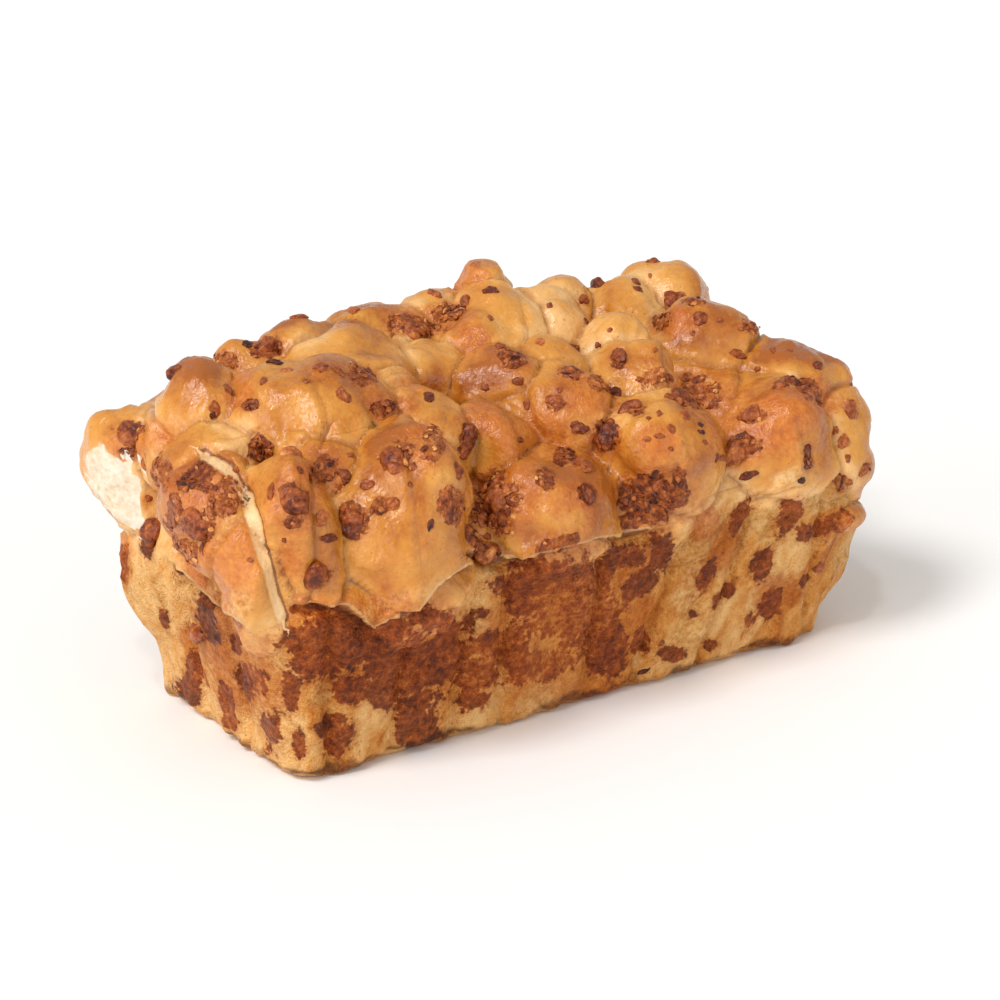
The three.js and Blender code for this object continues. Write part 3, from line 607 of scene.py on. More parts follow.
# Single bits that stand proud of the skin, written the same way.
BITS = [
    (149, 498, 1.3, 1.3, 0, .4), (248, 344, 2, 1.1, 0, 1), (213, 416, 1.1, 1, 0, 1),
    (263, 381, 1.3, 1.3, 0, .6), (306, 381, 1, 1, 0, .5), (338, 371, 2, 1, 20, .5),
    (271, 491, 1.3, 2.6, 10, .5), (330, 538, 2, 1.3, 0, .8), (339, 488, 1.6, 1.6, 0, .3),
    (410, 484, .9, .9, 0, .6), (414, 467, 1, 1.6, 0, .6), (431, 524, 1, 2, 10, .9),
    (474, 508, 1.3, 1.3, 0, .6), (584, 464, 2.6, 2, 0, .5), (519, 381, 2, 1.6, 0, .6),
    (485, 388, 1.3, 1.3, 0, .6), (540, 342, 1.5, 1.3, 0, .2), (550, 305, 1, 1, 0, .6),
    (490, 318, 1, 1, 0, .4), (587, 322, 1, 1, 0, .6), (598, 279, 2, 1.3, 0, .5),
    (638, 289, 1.6, 1.3, 0, .7), (650, 276, .8, .8, 0, .4), (643, 255, .8, .8, 0, .5),
    (664, 257, .9, .8, 0, .5), (598, 345, 1, 1, 0, .6), (773, 350, 1, 1, 0, .5),
    (757, 369, 1, 1, 0, .5), (693, 333, 1, 1, 0, .5), (723, 458, 1.5, 1.2, 0, .5),
    (800, 390, 1.6, 1.4, 0, .5), (749, 475, 3, 1.2, -20, .8), (803, 480, 1.2, 1.2, 0, 1),
    (848, 458, 1, 1.6, 20, .5), (686, 415, 1.3, 1.6, 0, .5), (659, 413, 1, .8, 0, .5),
    (649, 418, .8, .7, 0, .5), (671, 429, 1.7, 1.3, 0, .5), (659, 436, 1.9, .8, 0, .4),
    (647, 439, 1.3, 1, 0, .4), (671, 449, 1, .8, 0, .6), (701, 425, .9, .7, 0, 1),
    (703, 432, .8, .8, 0, 1), (705, 442, 1, .7, 0, .6), (717, 458, .7, 1.6, 0, .7),
    (644, 671, 2, .8, -20, 1), (662, 643, 1, 1, 0, .6), (819, 568, 1.7, 1.7, 0, .5),
    (700, 432, .8, .8, 0, .8), (560, 390, 1, 1, 0, .5), (500, 345, 1.6, 1.2, 0, .5),
    (655, 350, .9, .9, 0, .5), (610, 330, 1, .8, 0, .5), (520, 440, 1.2, 1, 0, .6),
    (350, 455, 1.2, 1, 0, .4), (236, 470, 1, 1, 0, .4), (284, 540, .8, .8, 0, .6),
    (250, 560, 1, .8, 0, .4), (300, 470, 1, 1, 0, .6), (575, 425, 1.6, 1.2, 0, .6),
    (640, 380, 1.4, 1, 0, .5), (720, 320, 1.2, .9, 0, .5), (790, 350, 1, .8, 0, .5),
    (835, 430, 1.2, 1.4, 0, .4),
]
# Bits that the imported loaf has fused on: side, the two places across it, half width (mm)
# and darkness.
FUSED_BITS = [
    ("left", 23, 89, 2.2, .4), ("left", -12, 96, 2.2, .4), ("top", -94, 25, 2.6, 1),
    ("top", -102, 4, 2.4, .5), ("top", -71, -21, 2.4, .5), ("top", -79, -1, 2.0, .2),
    ("top", -72, -10, 2.2, .5), ("front", -98, 92, 2.0, .3), ("top", -74, -43, 2.8, 0),
    ("front", -82, 98, 2.0, .6), ("top", -79, -48, 2.0, .5), ("front", -75, 93, 2.2, .4),
    ("front", -72, 97, 2.0, .5), ("top", -39, -21, 2.0, .8), ("front", -52, 99, 2.4, .6),
    ("top", -1, -51, 2.4, .5), ("top", 30, -25, 2.4, .8), ("top", -1, -20, 2.0, .5),
    ("top", 20, 41, 2.0, .3), ("top", 3, 40, 2.0, .5), ("top", 16, 26, 2.2, .8),
    ("top", 58, 31, 2.0, .5), ("top", 80, 32, 2.0, .6), ("top", 37, -18, 2.4, .6),
    ("top", 78, -7, 2.2, .6), ("top", 86, -18, 2.2, .5), ("top", 107, -35, 2.0, .8),
    ("top", 9, 31, 2.0, .5), ("front", -5, 82, 2.6, .7), ("top", 5, -27, 2.4, .5),
    ("top", 85, -43, 2.2, .5), ("front", 104, 74, 2.4, .3), ("top", -95, 7, 2.0, .5),
    ("top", -78, 7, 2.4, 1), ("front", 9, 93, 2.2, .6), ("top", 48, -8, 2.2, .6),
    ("top", 60, 8, 2.0, .6), ("top", -30, 38, 2.4, .4), ("top", -50, 40, 2.4, .5),
    ("top", 96, 44, 2.4, .5),
]
# Lines seen in the photo, from end to end in its pixels: the pale band between the two balls
# at the near left corner, thin pale folds of the stretched skin, dark creases, and the
# ledges where the crown hangs over the walls.
LINES = {
    "band": [
        [(205, 455), (228, 470), (245, 495), (258, 540), (272, 580), (283, 620)],
    ],
    "fold": [
        [(450, 400), (446, 420), (440, 440)], [(410, 470), (415, 520), (420, 560)],
        [(686, 410), (720, 430), (727, 458), (720, 475)], [(305, 370), (322, 400), (330, 440)],
        [(225, 440), (270, 430), (340, 435), (400, 420)], [(285, 440), (300, 470), (304, 500)],
        [(660, 350), (672, 385), (686, 410)], [(605, 425), (612, 455), (605, 480)],
        [(748, 340), (756, 365)], [(795, 420), (806, 450), (808, 475)], [(460, 565), (466, 600)],
        [(520, 305), (528, 330), (526, 345)], [(654, 575), (690, 562), (724, 542)],
        [(662, 530), (700, 500), (740, 486)], [(700, 545), (745, 505), (800, 488)],
        [(760, 540), (800, 508), (846, 496)],
    ],
    "crack": [
        [(330, 425), (318, 450), (316, 500), (318, 560), (310, 600)],
    ],
    "ledge": [
        [(310, 606), (345, 606), (372, 628), (420, 608), (466, 566)],
        [(470, 552), (520, 560), (560, 548), (600, 538), (645, 528)],
        [(172, 560), (205, 592), (240, 622)],
    ],
}
RUST_SPREAD = 1.18                         # how much further the fried patches ran on the long wall
CORNER_X = 280                             # the photo's pixel at which the long wall begins
LINE_REACH = 7.0                           # how far a line's own field goes on either side
# Sides that the photo doesn't show in full: half the length and the number of marks drawn.
DRAWN_SIDES = [("back", 112, 60), ("right", 46, 30), ("left", 46, 6)]
# Kinds of mark drawn there in turn, below the rim and above it.
KINDS_LOW, KINDS_HIGH = ("rust_and_shadow", "cream", "rust_and_shadow", "oil"), ("meat", "oil", "meat")

SEED = 20417
# Each side: along it, up it and out of it.
SIDES = {"front": ((1, 0, 0), (0, 0, 1), (0, -1, 0)), "back": ((1, 0, 0), (0, 0, 1), (0, 1, 0)),
         "left": ((0, 1, 0), (0, 0, 1), (-1, 0, 0)), "right": ((0, 1, 0), (0, 0, 1), (1, 0, 0)),
         "top": ((1, 0, 0), (0, 1, 0), (0, 0, 1))}
FAR = 400.0                                # how far out a look at a side starts (mm)


class Draws:
    """Even draws from 0 to 1, the same each time: state times 1664525 plus 1013904223."""

    def __init__(self, seed):
        self.state = seed

    def __call__(self):
        self.state = (self.state * 1664525 + 1013904223) % 4294967296
        return self.state / 4294967296


def side_hit(tree, side, across, up):
    """The point and outward direction of the dough seen from one side, in mm."""
    right, above, out = np.array(SIDES[side], float)
    return hit_mm(tree, right * across + above * up + out * FAR, -out)


def placed_marks(tree):
    """Every mark on the dough: kind, centre, the view's right, up and back, half sizes,
    tilt and darkness. The photo's own come first, then those drawn for the other sides."""
    marks = []
    for kind, rows in MARKS.items():
        for row in rows:
            x, y, wide, tall, tilt, dark = (*row, 0, 0)[:6]
            hit = hit_mm(tree, CAMERA, photo_way(x, y))
            if hit:
                grown = RUST_SPREAD if kind == "rust_and_shadow" and x > CORNER_X else 1.0
                marks.append((kind, hit[0], (RIGHT, UP, BACK), wide * grown, tall * grown, tilt, dark))
    draws = Draws(SEED + 1)
    for side, half, count in DRAWN_SIDES:
        for number in range(count):
            across, up = half * (2 * draws() - 1), 4 + 104 * draws()
            kinds = KINDS_LOW if up < RIM_HEIGHT else KINDS_HIGH
            size, squat, tilt, dark = 2.5 + 7 * draws() ** 2, 0.6 + 0.7 * draws(), 180 * draws(), draws()
            hit = side_hit(tree, side, across, up)
            if hit:
                marks.append((kinds[number % len(kinds)], hit[0], np.array(SIDES[side], float),
                              size * squat, size, tilt, dark))
    return marks


def mark_fields(points, marks):
    """For each kind, 1 in the middle of a mark, 0 at its edge and below 0 outside it, and
    the darkness of the marks of meat and rust, each weighted by exp(4 times its own field)."""
    fields = {kind: np.full(len(points), -3.0) for kind in MARKS}
    darkness, weights = np.full(len(points), 4e-4), np.full(len(points), 1e-3)
    for kind, centre, (right, up, back), wide, tall, tilt, dark in marks:
        offset = points - centre
        across, above, deep = offset @ right, offset @ up, offset @ back
        c, s = math.cos(math.radians(tilt)), math.sin(math.radians(tilt))
        first, second = (across * c - above * s) / wide, (across * s + above * c) / tall
        value = 1 - np.sqrt(first ** 2 + second ** 2 + (deep / (2.5 * max(wide, tall) + 3)) ** 2)
        closer = value > fields[kind]
        fields[kind][closer] = value[closer]
        if kind in ("meat", "rust_and_shadow"):
            weight = np.exp(4 * value)
            darkness += weight * dark
            weights += weight
    return fields, darkness / weights


def line_fields(points, tree):
    """For each kind of line, the distance from it across the view (below 0 on one side), and
    how near it is (1 beside it, 0 beyond its ends and reach)."""
    place, scale = photo_place(points)
    fields = {}
    for kind, lines in LINES.items():
        signed, near = np.full(len(points), LINE_REACH), np.zeros(len(points))
        for line in lines:
            hits = [hit_mm(tree, CAMERA, photo_way(x, y)) for x, y in line]
            for number in range(len(line) - 1):
                if hits[number] is None or hits[number + 1] is None:
                    continue
                start, run = np.array(line[number], float), np.subtract(line[number + 1], line[number])
                t = np.clip((place - start) @ run / (run @ run), 0, 1)
                gap = place - start - t[:, None] * run
                away = np.linalg.norm(gap, axis=1) * scale
                side = np.sign(run[0] * (place[:, 1] - start[1]) - run[1] * (place[:, 0] - start[0]))
                low, high = hits[number][0], hits[number + 1][0]
                true = np.linalg.norm(points - low - t[:, None] * (high - low), axis=1)
                closer = (away < np.abs(signed)) & (true < 2.5 * LINE_REACH)
                signed[closer] = (side * away)[closer]
                beside = smooth(LINE_REACH, LINE_REACH / 2, true * 0.6) \
                    * smooth(0.9 * LINE_REACH, 0.65 * LINE_REACH, away)
                near[closer] = beside[closer]
        fields[kind], fields[kind + "_near"] = signed, near
    return fields


# ---- the finished skin -----------------------------------------------------------------
TORN_BALL = next(row[1:4] for row in BALLS if row[0] == "left_corner")
TORN_WAY = np.array([-0.9, -0.38, -0.1])   # the way that its torn face looks
STREAK_LEAN = 0.5                          # how far the pan's streaks lean to the right end
TORN_DEPTH = 9.5                           # how far the torn face lies from its centre
TORN_REACH = 24                            # how far from the centre the tear goes


def finished_skin(mesh):
    """Relief and stain fields for the skin, with painted shade in the creases between balls and painted
    light on the end walls. Relief is layered noise, taut ridges on the crown, pads and streaks on the
    walls, and grooves along the creases and lines."""
    points, normals = mesh_points(mesh), mesh_normals(mesh)
    tree = tree_of(mesh)
    fields, dark = mark_fields(points, placed_marks(tree))
    lines = line_fields(points, tree)
    _, _, each = dough_distance(points)
    order = np.sort(each, axis=1)
    nearest = np.argmin(each, axis=1)
    first, apart = order[:, 0], order[:, 1] - order[:, 0]
    x, y, height = points.T
    way_x, way_y, up = normals.T

    wall = smooth(1.5, -0.5, each[:, -1] - first) \
        * smooth(RIM_HEIGHT + 9, RIM_HEIGHT - 3, height + 4 * noise(points, 16, 3))
    pads = np.isin(nearest, [number for number, row in enumerate(BALLS) if "_wall_" in row[0]])
    wall = np.maximum(wall, pads * smooth(60, 52, height))
    crown = 1 - wall

    ragged = 0.34 * layered_noise(points, 6.0, 11, 2) + 0.10 * noise(points, 2.2, 13)
    meat, rust_and_shadow = fields["meat"] + ragged, fields["rust_and_shadow"] + ragged
    oil = fields["oil"] + 0.35 * layered_noise(points * (1, 1, 0.6), 11.0, 23, 3)
    cream = fields["cream"] + 0.4 * layered_noise(points * (1, 1, 0.6), 9.0, 29, 3)
    crumb = fields["crumb"] + 0.5 * ragged
    rust_and_shadow -= 1.6 * lines["ledge_near"] * smooth(0.5, -0.5, lines["ledge"])

    tone = lattice_value(np.stack([nearest, nearest * 0, nearest * 0], -1), 7)
    bake_and_light = (0.15 + 0.27 * smooth(0.5, 9.0, apart) + 0.08 * smooth(-0.3, 0.9, up) + 0.08 * tone
            + 0.20 * layered_noise(points, 20.0, 41, 3) + 0.05 * smooth(84, 118, height)
            - 0.28 * smooth(-0.6, 0.7, fields["pale"] + 0.3 * layered_noise(points, 14.0, 45, 2))
            - 0.08 * smooth(-20, 20, y)
            - 0.05 * smooth(76, 56, height) * smooth(0.4, -0.4, up))
    leaning = points - np.outer(height * smooth(-60, 60, x) * STREAK_LEAN, (1, 0, 0))
    # The end walls are painted paler by the way they face: the left end much paler, as painted light
    # where the lamp from the left falls, the right end a little.
    wall_bake_and_light = (0.09 + 0.26 * layered_noise(leaning * (1, 1, 0.45), 13.0, 43, 3)
                 - 0.24 * smooth(-0.3, -0.8, way_x) - 0.08 * smooth(0.3, 0.8, way_x))
    bake_and_light = bake_and_light + (wall_bake_and_light - bake_and_light) * smooth(0.3, 0.7, wall)
    rim = smooth(7.0, 1.0, height + 2.5 * layered_noise(points, 9.0, 47, 2)) * smooth(-0.97, -0.4, up)

    bent = points + 4.0 * np.stack([noise(points, 13.0, seed) for seed in (54, 55, 56)], -1)
    hollow = np.abs(noise(bent * (1, 1, 0.8), 18.0, 51))
    ridge = np.abs(noise(bent * (0.8, 1.2, 1), 10.0, 57))
    side = np.where(np.abs(way_y) > np.abs(way_x), (y > 0) * 1, 2 + (x > 0))
    seam = (seam_depths(points, side) / SEAM_DEPTH) ** 5
    streak = layered_noise(leaning * (1, 1, 0.35), 5.0, 53, 2)
    lift = crown * (0.6 * layered_noise(points, 21.0, 61, 2) + 3.0 * hollow - 1.5 * ridge
                    + 0.32 * layered_noise(points, 5.0, 67, 2) - 2.0 * bell(apart, 1.1)
                    + 0.8 * np.abs(noise(bent, 6.5, 69)))
    lift += wall * (0.7 * layered_noise(points, 15.0, 71, 2) + 1.8 * hollow - 0.9 * ridge + 0.35 * streak
                    + 0.5 * noise(points, 3.2, 73) - 1.5 * seam)
    crag = 0.9 - 2.2 * np.abs(noise(points, 4.2, 79)) - 0.8 * np.abs(noise(points, 2.4, 80))
    lift += smooth(0.0, 0.25, meat) * (0.35 + 0.55 * crag) - 0.45 * bell(meat, 0.13)
    lift += smooth(0.0, 0.25, rust_and_shadow) * (0.1 + 0.5 * crag)
    lift -= smooth(0.0, 0.3, crumb) * 0.3
    lift += lines["band_near"] * (-1.1 * bell(lines["band"], 1.7) - 1.4 * bell(lines["band"] + 1.9, 0.9))
    fold = lines["fold"]
    lift += lines["fold_near"] * (0.6 * smooth(-0.7, 0.7, fold) * smooth(5.0, 1.5, fold)
                                  - 0.6 * bell(fold, 0.9))
    lift += lines["crack_near"] * (-1.6 * bell(lines["crack"], 1.3))
    under, over = smooth(-0.3, 0.6, lines["ledge"]), smooth(0.6, -0.3, lines["ledge"])
    lift += lines["ledge_near"] * (-3.8 * under * smooth(LINE_REACH, 1.5, lines["ledge"])
                                   + 1.6 * over * smooth(-LINE_REACH, -1.0, lines["ledge"]))
    lift += smooth(9, 3, height) * (1.5 * noise(points, 6.0, 83) + 0.9 * noise(points, 3.0, 84))
    lift *= smooth(-0.1, 2.5, height)
    points = points + normals * lift[:, None]

    way = TORN_WAY / np.linalg.norm(TORN_WAY)
    beyond = (points - TORN_BALL) @ way - TORN_DEPTH - 0.5 * layered_noise(points, 4.0, 91, 2)
    near_ball = np.linalg.norm(points - TORN_BALL, axis=1) < TORN_REACH
    torn = np.maximum(beyond, 0) * near_ball * (height > RIM_HEIGHT)
    points -= torn[:, None] * way
    crumb = np.maximum(crumb, smooth(0.2, 1.2, torn) - 0.3)
    set_points(mesh, points)

    # Painted shade: the material darkens the skin in the creases between balls.
    crease = crown * smooth(1.7, 0.2, apart)
    stains_and_painted_light = dict(bake_and_light=np.clip(bake_and_light, 0, 1), wall=wall, crease=crease, meat=meat, rust_and_shadow=rust_and_shadow, oil=oil,
                  cream=cream, crumb=crumb, rim=rim, dark=dark)
    for name, values in {**stains_and_painted_light, **lines}.items():
        set_field(mesh, name, values)
    return mesh, meat, fields["crumble"], dark


# ---- materials -------------------------------------------------------------------------
def linear(hex_colour):
    """An sRGB hex colour as linear red, green, blue, alpha."""
    channels = [int(hex_colour[i:i + 2], 16) / 255 for i in (1, 3, 5)]
    return [c / 12.92 if c <= 0.04045 else ((c + 0.055) / 1.055) ** 2.4 for c in channels] + [1.0]


def node(tree, kind, inputs=(), stops=(), out=0, **settings):
    """Adds a node with its settings and links, and gives its output number out. An input is
    a value, or another node's output; stops are a colour ramp's places and hex colours."""
    added = tree.nodes.new(kind)
    for name, value in settings.items():
        setattr(added, name, value)
    for key, value in dict(inputs).items():
        if isinstance(value, bpy.types.NodeSocket):
            tree.links.new(value, added.inputs[key])
        else:
            added.inputs[key].default_value = value
    for number, (place, colour) in enumerate(stops):
        band = added.color_ramp.elements
        element = band[number] if number < len(band) else band.new(place)
        element.position, element.color = place, linear(colour)
    return added.outputs[out]


def new_material(name):
    """A material with one shader, whose tree the caller fills."""
    material = bpy.data.materials.new(name)
    material.use_nodes = True
    return material, material.node_tree, material.node_tree.nodes["Principled BSDF"]


def weighted_sum(tree, start, *terms):
    """A start plus each term's value times its weight."""
    for value, weight in terms:
        start = node(tree, "ShaderNodeMath", {0: value, 1: weight, 2: start}, operation="MULTIPLY_ADD")
    return start


# Noises in the crust: size of the lumps (mm), detail, stretch upwards and lean (degrees).
NOISES = {"blotch": (9.0, 3.0, 1.0, 0), "fine": (2.2, 4.0, 1.0, 0), "speck": (0.8, 2.0, 1.0, 0),
          "streak": (4.0, 5.0, 2.6, 20), "weave": (5.0, 2.0, 1.0, 0)}
FRECKLE_SPACING, GRAIN = 3.0, 1.7          # freckles of egg wash, and grains in a stain (mm)
# Browning of the crown and of the walls, from pale to dark; on the walls it also holds painted light on
# the end walls.
CROWN_STOPS = ((0.34, "#e9b674"), (0.57, "#da9844"), (0.81, "#c67e2c"), (0.97, "#ae621a"),
               (1.0, "#a45814"))
WALL_STOPS = ((0.55, "#f2bf7c"), (0.78, "#dc9648"), (0.93, "#c06e28"), (1.0, "#9c5014"))
# Layers over the skin's own colour: field, how ragged its edge is, where it starts and is
# full, strength, and the colours from light to dark.
LAYERS = [
    ("cream", 0.8, 0.0, 0.6, 0.7, ((0.2, "#f2cc92"), (0.5, "#dca45c"), (0.8, "#b87636"))),
    ("oil", 0.8, -0.35, 0.5, 0.78, ((0.0, "#dc8a34"), (0.5, "#c66c20"), (1.0, "#a4480e"))),
    ("rust_and_shadow", 1.2, -0.5, 0.1, 0.45, ((0.15, "#e0963e"), (0.5, "#c06a22"), (0.85, "#8c4010"))),
    ("rust_and_shadow", 1.1, -0.02, 0.16, 0.92,
     ((0.1, "#d07a34"), (0.4, "#a24a18"), (0.7, "#6e2c10"), (1.0, "#3e160a"))),
    ("meat", 0.6, -0.6, 0.1, 0.5, ((0.2, "#cc7c34"), (0.8, "#a04c1a"))),
    ("meat", 0.6, -0.02, 0.12, 0.94,
     ((0.1, "#d0864a"), (0.4, "#a45828"), (0.7, "#6c2e16"), (1.0, "#34120a"))),
    ("crumb", 0.35, 0.0, 0.16, 1.0, ((0.0, "#c4a680"), (0.35, "#dec8aa"), (0.7, "#eadcc8"))),
    ("rim", 0.5, 0.2, 0.9, 0.85, ((0.3, "#8a4a1e"), (0.6, "#5a2c12"), (0.9, "#3a1a0c"))),
]
# Lines over it: field, where the middle lies and half the width (mm), strength and colour.
LINE_TINTS = [
    # The pale band is torn crumb; the thin dark line at its left edge is painted shadow cast by the ball
    # above it.
    ("band", 0.0, 1.6, 0.8, "#f5cf98"), ("band", -2.1, 0.35, 0.8, "#7a4018"),
    # Thin dark lines in the grooves of the folds and the crack: painted shade.
    ("fold", -0.2, 0.35, 0.3, "#a45a24"), ("crack", 0.0, 0.5, 0.5, "#8a4a1e"),
    # Along the ledges: a pale line on the lip, a painted highlight, and a dark band below it, painted
    # shadow under the overhang.
    ("ledge", -0.7, 0.4, 0.35, "#f2cc90"), ("ledge", 1.1, 1.2, 0.75, "#6c3010"),
]
LINE_WAVER = 0.8                           # how far noise pushes a line aside (mm)


def baked_crust():
    """Egg-washed yeast crust: glossy golden brown skin on the crown, dull and oil-stained
    where the pan pressed it, with cream crumb where it tore."""
    material, tree, shader = new_material("baked_crust")
    place = node(tree, "ShaderNodeTexCoord", out=3)
    names = ["bake_and_light", "wall", "crease", "meat", "rust_and_shadow", "oil", "cream", "crumb", "rim", "dark"]
    names += [kind + end for kind in LINES for end in ("", "_near")]
    field = {name: node(tree, "ShaderNodeAttribute", out=2, attribute_name=name) for name in names}
    noises = []
    for size, detail, stretch, lean in NOISES.values():
        moved = node(tree, "ShaderNodeMapping",
                     {0: place, "Rotation": (0, math.radians(lean), 0),
                      "Scale": (size * MM, size * MM, size * MM * stretch)}, vector_type="TEXTURE")
        noises.append(node(tree, "ShaderNodeTexNoise",
                           {"Vector": moved, "Scale": 1.0, "Detail": detail, "Roughness": 0.62}))
    blotch, fine, speck, streak, weave = noises

    # The skin's own colour, then what lies over it: how much, and its colour.
    crown_bake = weighted_sum(tree, field["bake_and_light"], (blotch, 0.36), (fine, 0.30), (speck, 0.12))
    colour = node(tree, "ShaderNodeValToRGB", {0: crown_bake}, CROWN_STOPS)
    wall_bake_and_light = weighted_sum(tree, field["bake_and_light"], (streak, 0.75), (fine, 0.3), (speck, 0.2))
    over = [(field["wall"], node(tree, "ShaderNodeValToRGB", {0: wall_bake_and_light}, WALL_STOPS))]
    cell = node(tree, "ShaderNodeTexVoronoi", {"Vector": place, "Scale": 1 / (FRECKLE_SPACING * MM)})
    spot = weighted_sum(tree, -0.02, (weave, 0.22))
    freckle = node(tree, "ShaderNodeMath", {0: cell, 1: spot}, operation="LESS_THAN")
    # Freckles of egg wash, and painted shade in the creases between balls.
    for first, second, tint in ((freckle, 0.6, "#9c4c1e"), (blotch, field["crease"], "#96501c")):
        share = node(tree, "ShaderNodeMath", {0: first, 1: second}, operation="MULTIPLY")
        over.append((share, linear(tint)))
    granule = node(tree, "ShaderNodeTexVoronoi", {"Vector": place, "Scale": 1 / (GRAIN * MM)})
    shade = weighted_sum(tree, -1.02, (fine, 1.3), (blotch, 0.8), (field["dark"], 0.5),
                         (granule, 0.15), (speck, 0.35))
    cover = {}
    for name, ragged, start, full, strength, stops in LAYERS:
        edge = weighted_sum(tree, field[name], (fine, ragged))
        cover[name] = node(tree, "ShaderNodeMapRange",
                           {0: edge, 1: start + ragged / 2, 2: full + ragged / 2, 3: 0.0, 4: strength},
                           interpolation_type="SMOOTHSTEP")
        over.append((cover[name], node(tree, "ShaderNodeValToRGB", {0: shade}, stops)))
    for name, middle, half, strength, tint in LINE_TINTS:
        away = weighted_sum(tree, field[name], (fine, LINE_WAVER))
        away = node(tree, "ShaderNodeMath", {0: away, 1: -middle - LINE_WAVER / 2}, operation="ADD")
        away = node(tree, "ShaderNodeMath", {0: away}, operation="ABSOLUTE")
        line = node(tree, "ShaderNodeMapRange",
                    {0: away, 1: half * 1.3, 2: half * 0.7, 3: 0.0, 4: strength})
        share = node(tree, "ShaderNodeMath", {0: line, 1: field[name + "_near"]}, operation="MULTIPLY")
        over.append((share, linear(tint)))
    for share, tint in over:
        colour = node(tree, "ShaderNodeMix", {0: share, 6: colour, 7: tint}, out=2, data_type="RGBA")

    dull = node(tree, "ShaderNodeMath", {0: field["wall"], 1: cover["crumb"]}, operation="MAXIMUM")
    greasy = node(tree, "ShaderNodeMath", {0: cover["meat"], 1: cover["rust_and_shadow"]}, operation="MAXIMUM")
    matte = node(tree, "ShaderNodeMath", {0: dull, 1: greasy}, operation="MAXIMUM")
    rough = weighted_sum(tree, 0.12, (dull, 0.34), (greasy, -0.18), (fine, 0.25))
    gloss = weighted_sum(tree, 0.53, (matte, -0.38))
    beads = node(tree, "ShaderNodeMath", {0: speck, 1: cover["oil"]}, operation="MULTIPLY")
    coarse = weighted_sum(tree, fine, (speck, 0.8))
    pores = node(tree, "ShaderNodeMath", {0: field["wall"], 1: coarse}, operation="MULTIPLY")
    pebbles = node(tree, "ShaderNodeMath", {0: greasy, 1: granule}, operation="MULTIPLY")
    relief = weighted_sum(tree, 0.0, (fine, 0.38), (streak, 0.5), (weave, 0.9), (beads, 0.4),
                          (pores, 2.0), (pebbles, -0.7))
    bump = node(tree, "ShaderNodeBump", {"Height": relief, "Strength": 1.0, "Distance": 0.85 * MM})
    for socket, value in (("Normal", bump), ("Base Color", colour), ("Roughness", rough),
                          ("Specular IOR Level", gloss)):
        tree.links.new(value, shader.inputs[socket])
    return material


MEAT_GRAIN, MEAT_FINE = 1.5, 1.6           # lumps of the mince, and the fine noise on it (mm)
MEAT_STOPS = ((0.0, "#e0a25c"), (0.2, "#ca7a3c"), (0.45, "#a25222"), (0.7, "#6e2e14"),
              (1.0, "#2c100a"))


def browned_pepperoni():
    """Chopped cured sausage, fried brown in its own fat: granular, red-brown, greasy, from
    tan crumbs to charred ones by the piece's own tone, which on the chunks also holds painted
    highlight and shade."""
    material, tree, shader = new_material("browned_pepperoni")
    place = node(tree, "ShaderNodeTexCoord", out=3)
    tone = node(tree, "ShaderNodeAttribute", out=2, attribute_name="tone")
    granule = node(tree, "ShaderNodeTexVoronoi", {"Vector": place, "Scale": 1 / (MEAT_GRAIN * MM)})
    fine = node(tree, "ShaderNodeTexNoise", {"Vector": place, "Scale": 1 / (MEAT_FINE * MM),
                                             "Detail": 4.0, "Roughness": 0.65})
    shade = weighted_sum(tree, -0.44, (tone, 1.0), (fine, 1.1))
    colour = node(tree, "ShaderNodeValToRGB", {0: shade}, MEAT_STOPS)
    relief = weighted_sum(tree, fine, (granule, -1.0))
    bump = node(tree, "ShaderNodeBump", {"Height": relief, "Strength": 1.0, "Distance": 0.4 * MM})
    tree.links.new(bump, shader.inputs["Normal"])
    tree.links.new(colour, shader.inputs["Base Color"])
    shader.inputs["Roughness"].default_value = 0.3
    shader.inputs["Specular IOR Level"].default_value = 0.32
    return material


# ---- pepperoni -------------------------------------------------------------------------
CHUNK_NODES = sorted(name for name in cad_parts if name.startswith("pepperoni_chunk_"))
FAR_BIT_COUNT, FAR_BIT_RADIUS = 30, (1.9, 3.2)   # bits drawn for the back and the right end
BIT_TURN = 40                              # each is turned this many degrees more than the last
BIT_GAP = 1.7                              # room round a bit, as a share of its radius
BIT_SHAPE = np.array([1.25, 0.95, 0.62])   # half sizes of a bit, as shares of its radius
GRANULE_SPACING = 1.9                      # side of the cells that hold one granule each (mm)
GRANULE_LIMIT = 2300                       # granules in all, at most
CHUNK_SWELL = 1.05                         # makes up for what the subdivision takes away


def turned(normals, leads, turns):
    """Directions along the surface: each lead laid flat on it, then turned about the way out."""
    flat = leads - normals * (leads * normals).sum(1)[:, None]
    flat /= np.linalg.norm(flat, axis=1)[:, None]
    return flat * np.cos(turns)[:, None] + np.cross(normals, flat) * np.sin(turns)[:, None]


def nuggets(name, centres, normals, firsts, halves, tones, facets, roughness, material):
    """Joined uneven balls: an icosphere's directions times three half sizes, swollen by
    noise, with the first size along its own direction and the third along the way out."""
    ball = bmesh.new()
    bmesh.ops.create_icosphere(ball, subdivisions=facets, radius=1.0)
    base = np.array([vertex.co[:] for vertex in ball.verts])
    faces = np.array([[vertex.index for vertex in face.verts] for face in ball.faces])
    ball.free()
    count = len(centres)
    spread = (base[None] * 1.25 + 31.7 * np.arange(count)[:, None, None]).reshape(-1, 3)
    swell = 1 + roughness * (noise(spread, 0.9, 5) + 0.6 * noise(spread, 0.45, 6))
    local = base[None] * halves[:, None, :] * swell.reshape(count, -1, 1)
    seconds = np.cross(normals, firsts)
    points = (centres[:, None] + local[..., :1] * firsts[:, None] + local[..., 1:2] * seconds[:, None]
              + local[..., 2:] * normals[:, None])
    numbers = (faces[None] + (len(base) * np.arange(count))[:, None, None]).reshape(-1, 3)
    piece = make_piece(name, make_mesh(name, points.reshape(-1, 3), numbers), material, rounded=False)
    set_field(piece.data, "tone", np.repeat(tones, len(base)))
    return piece


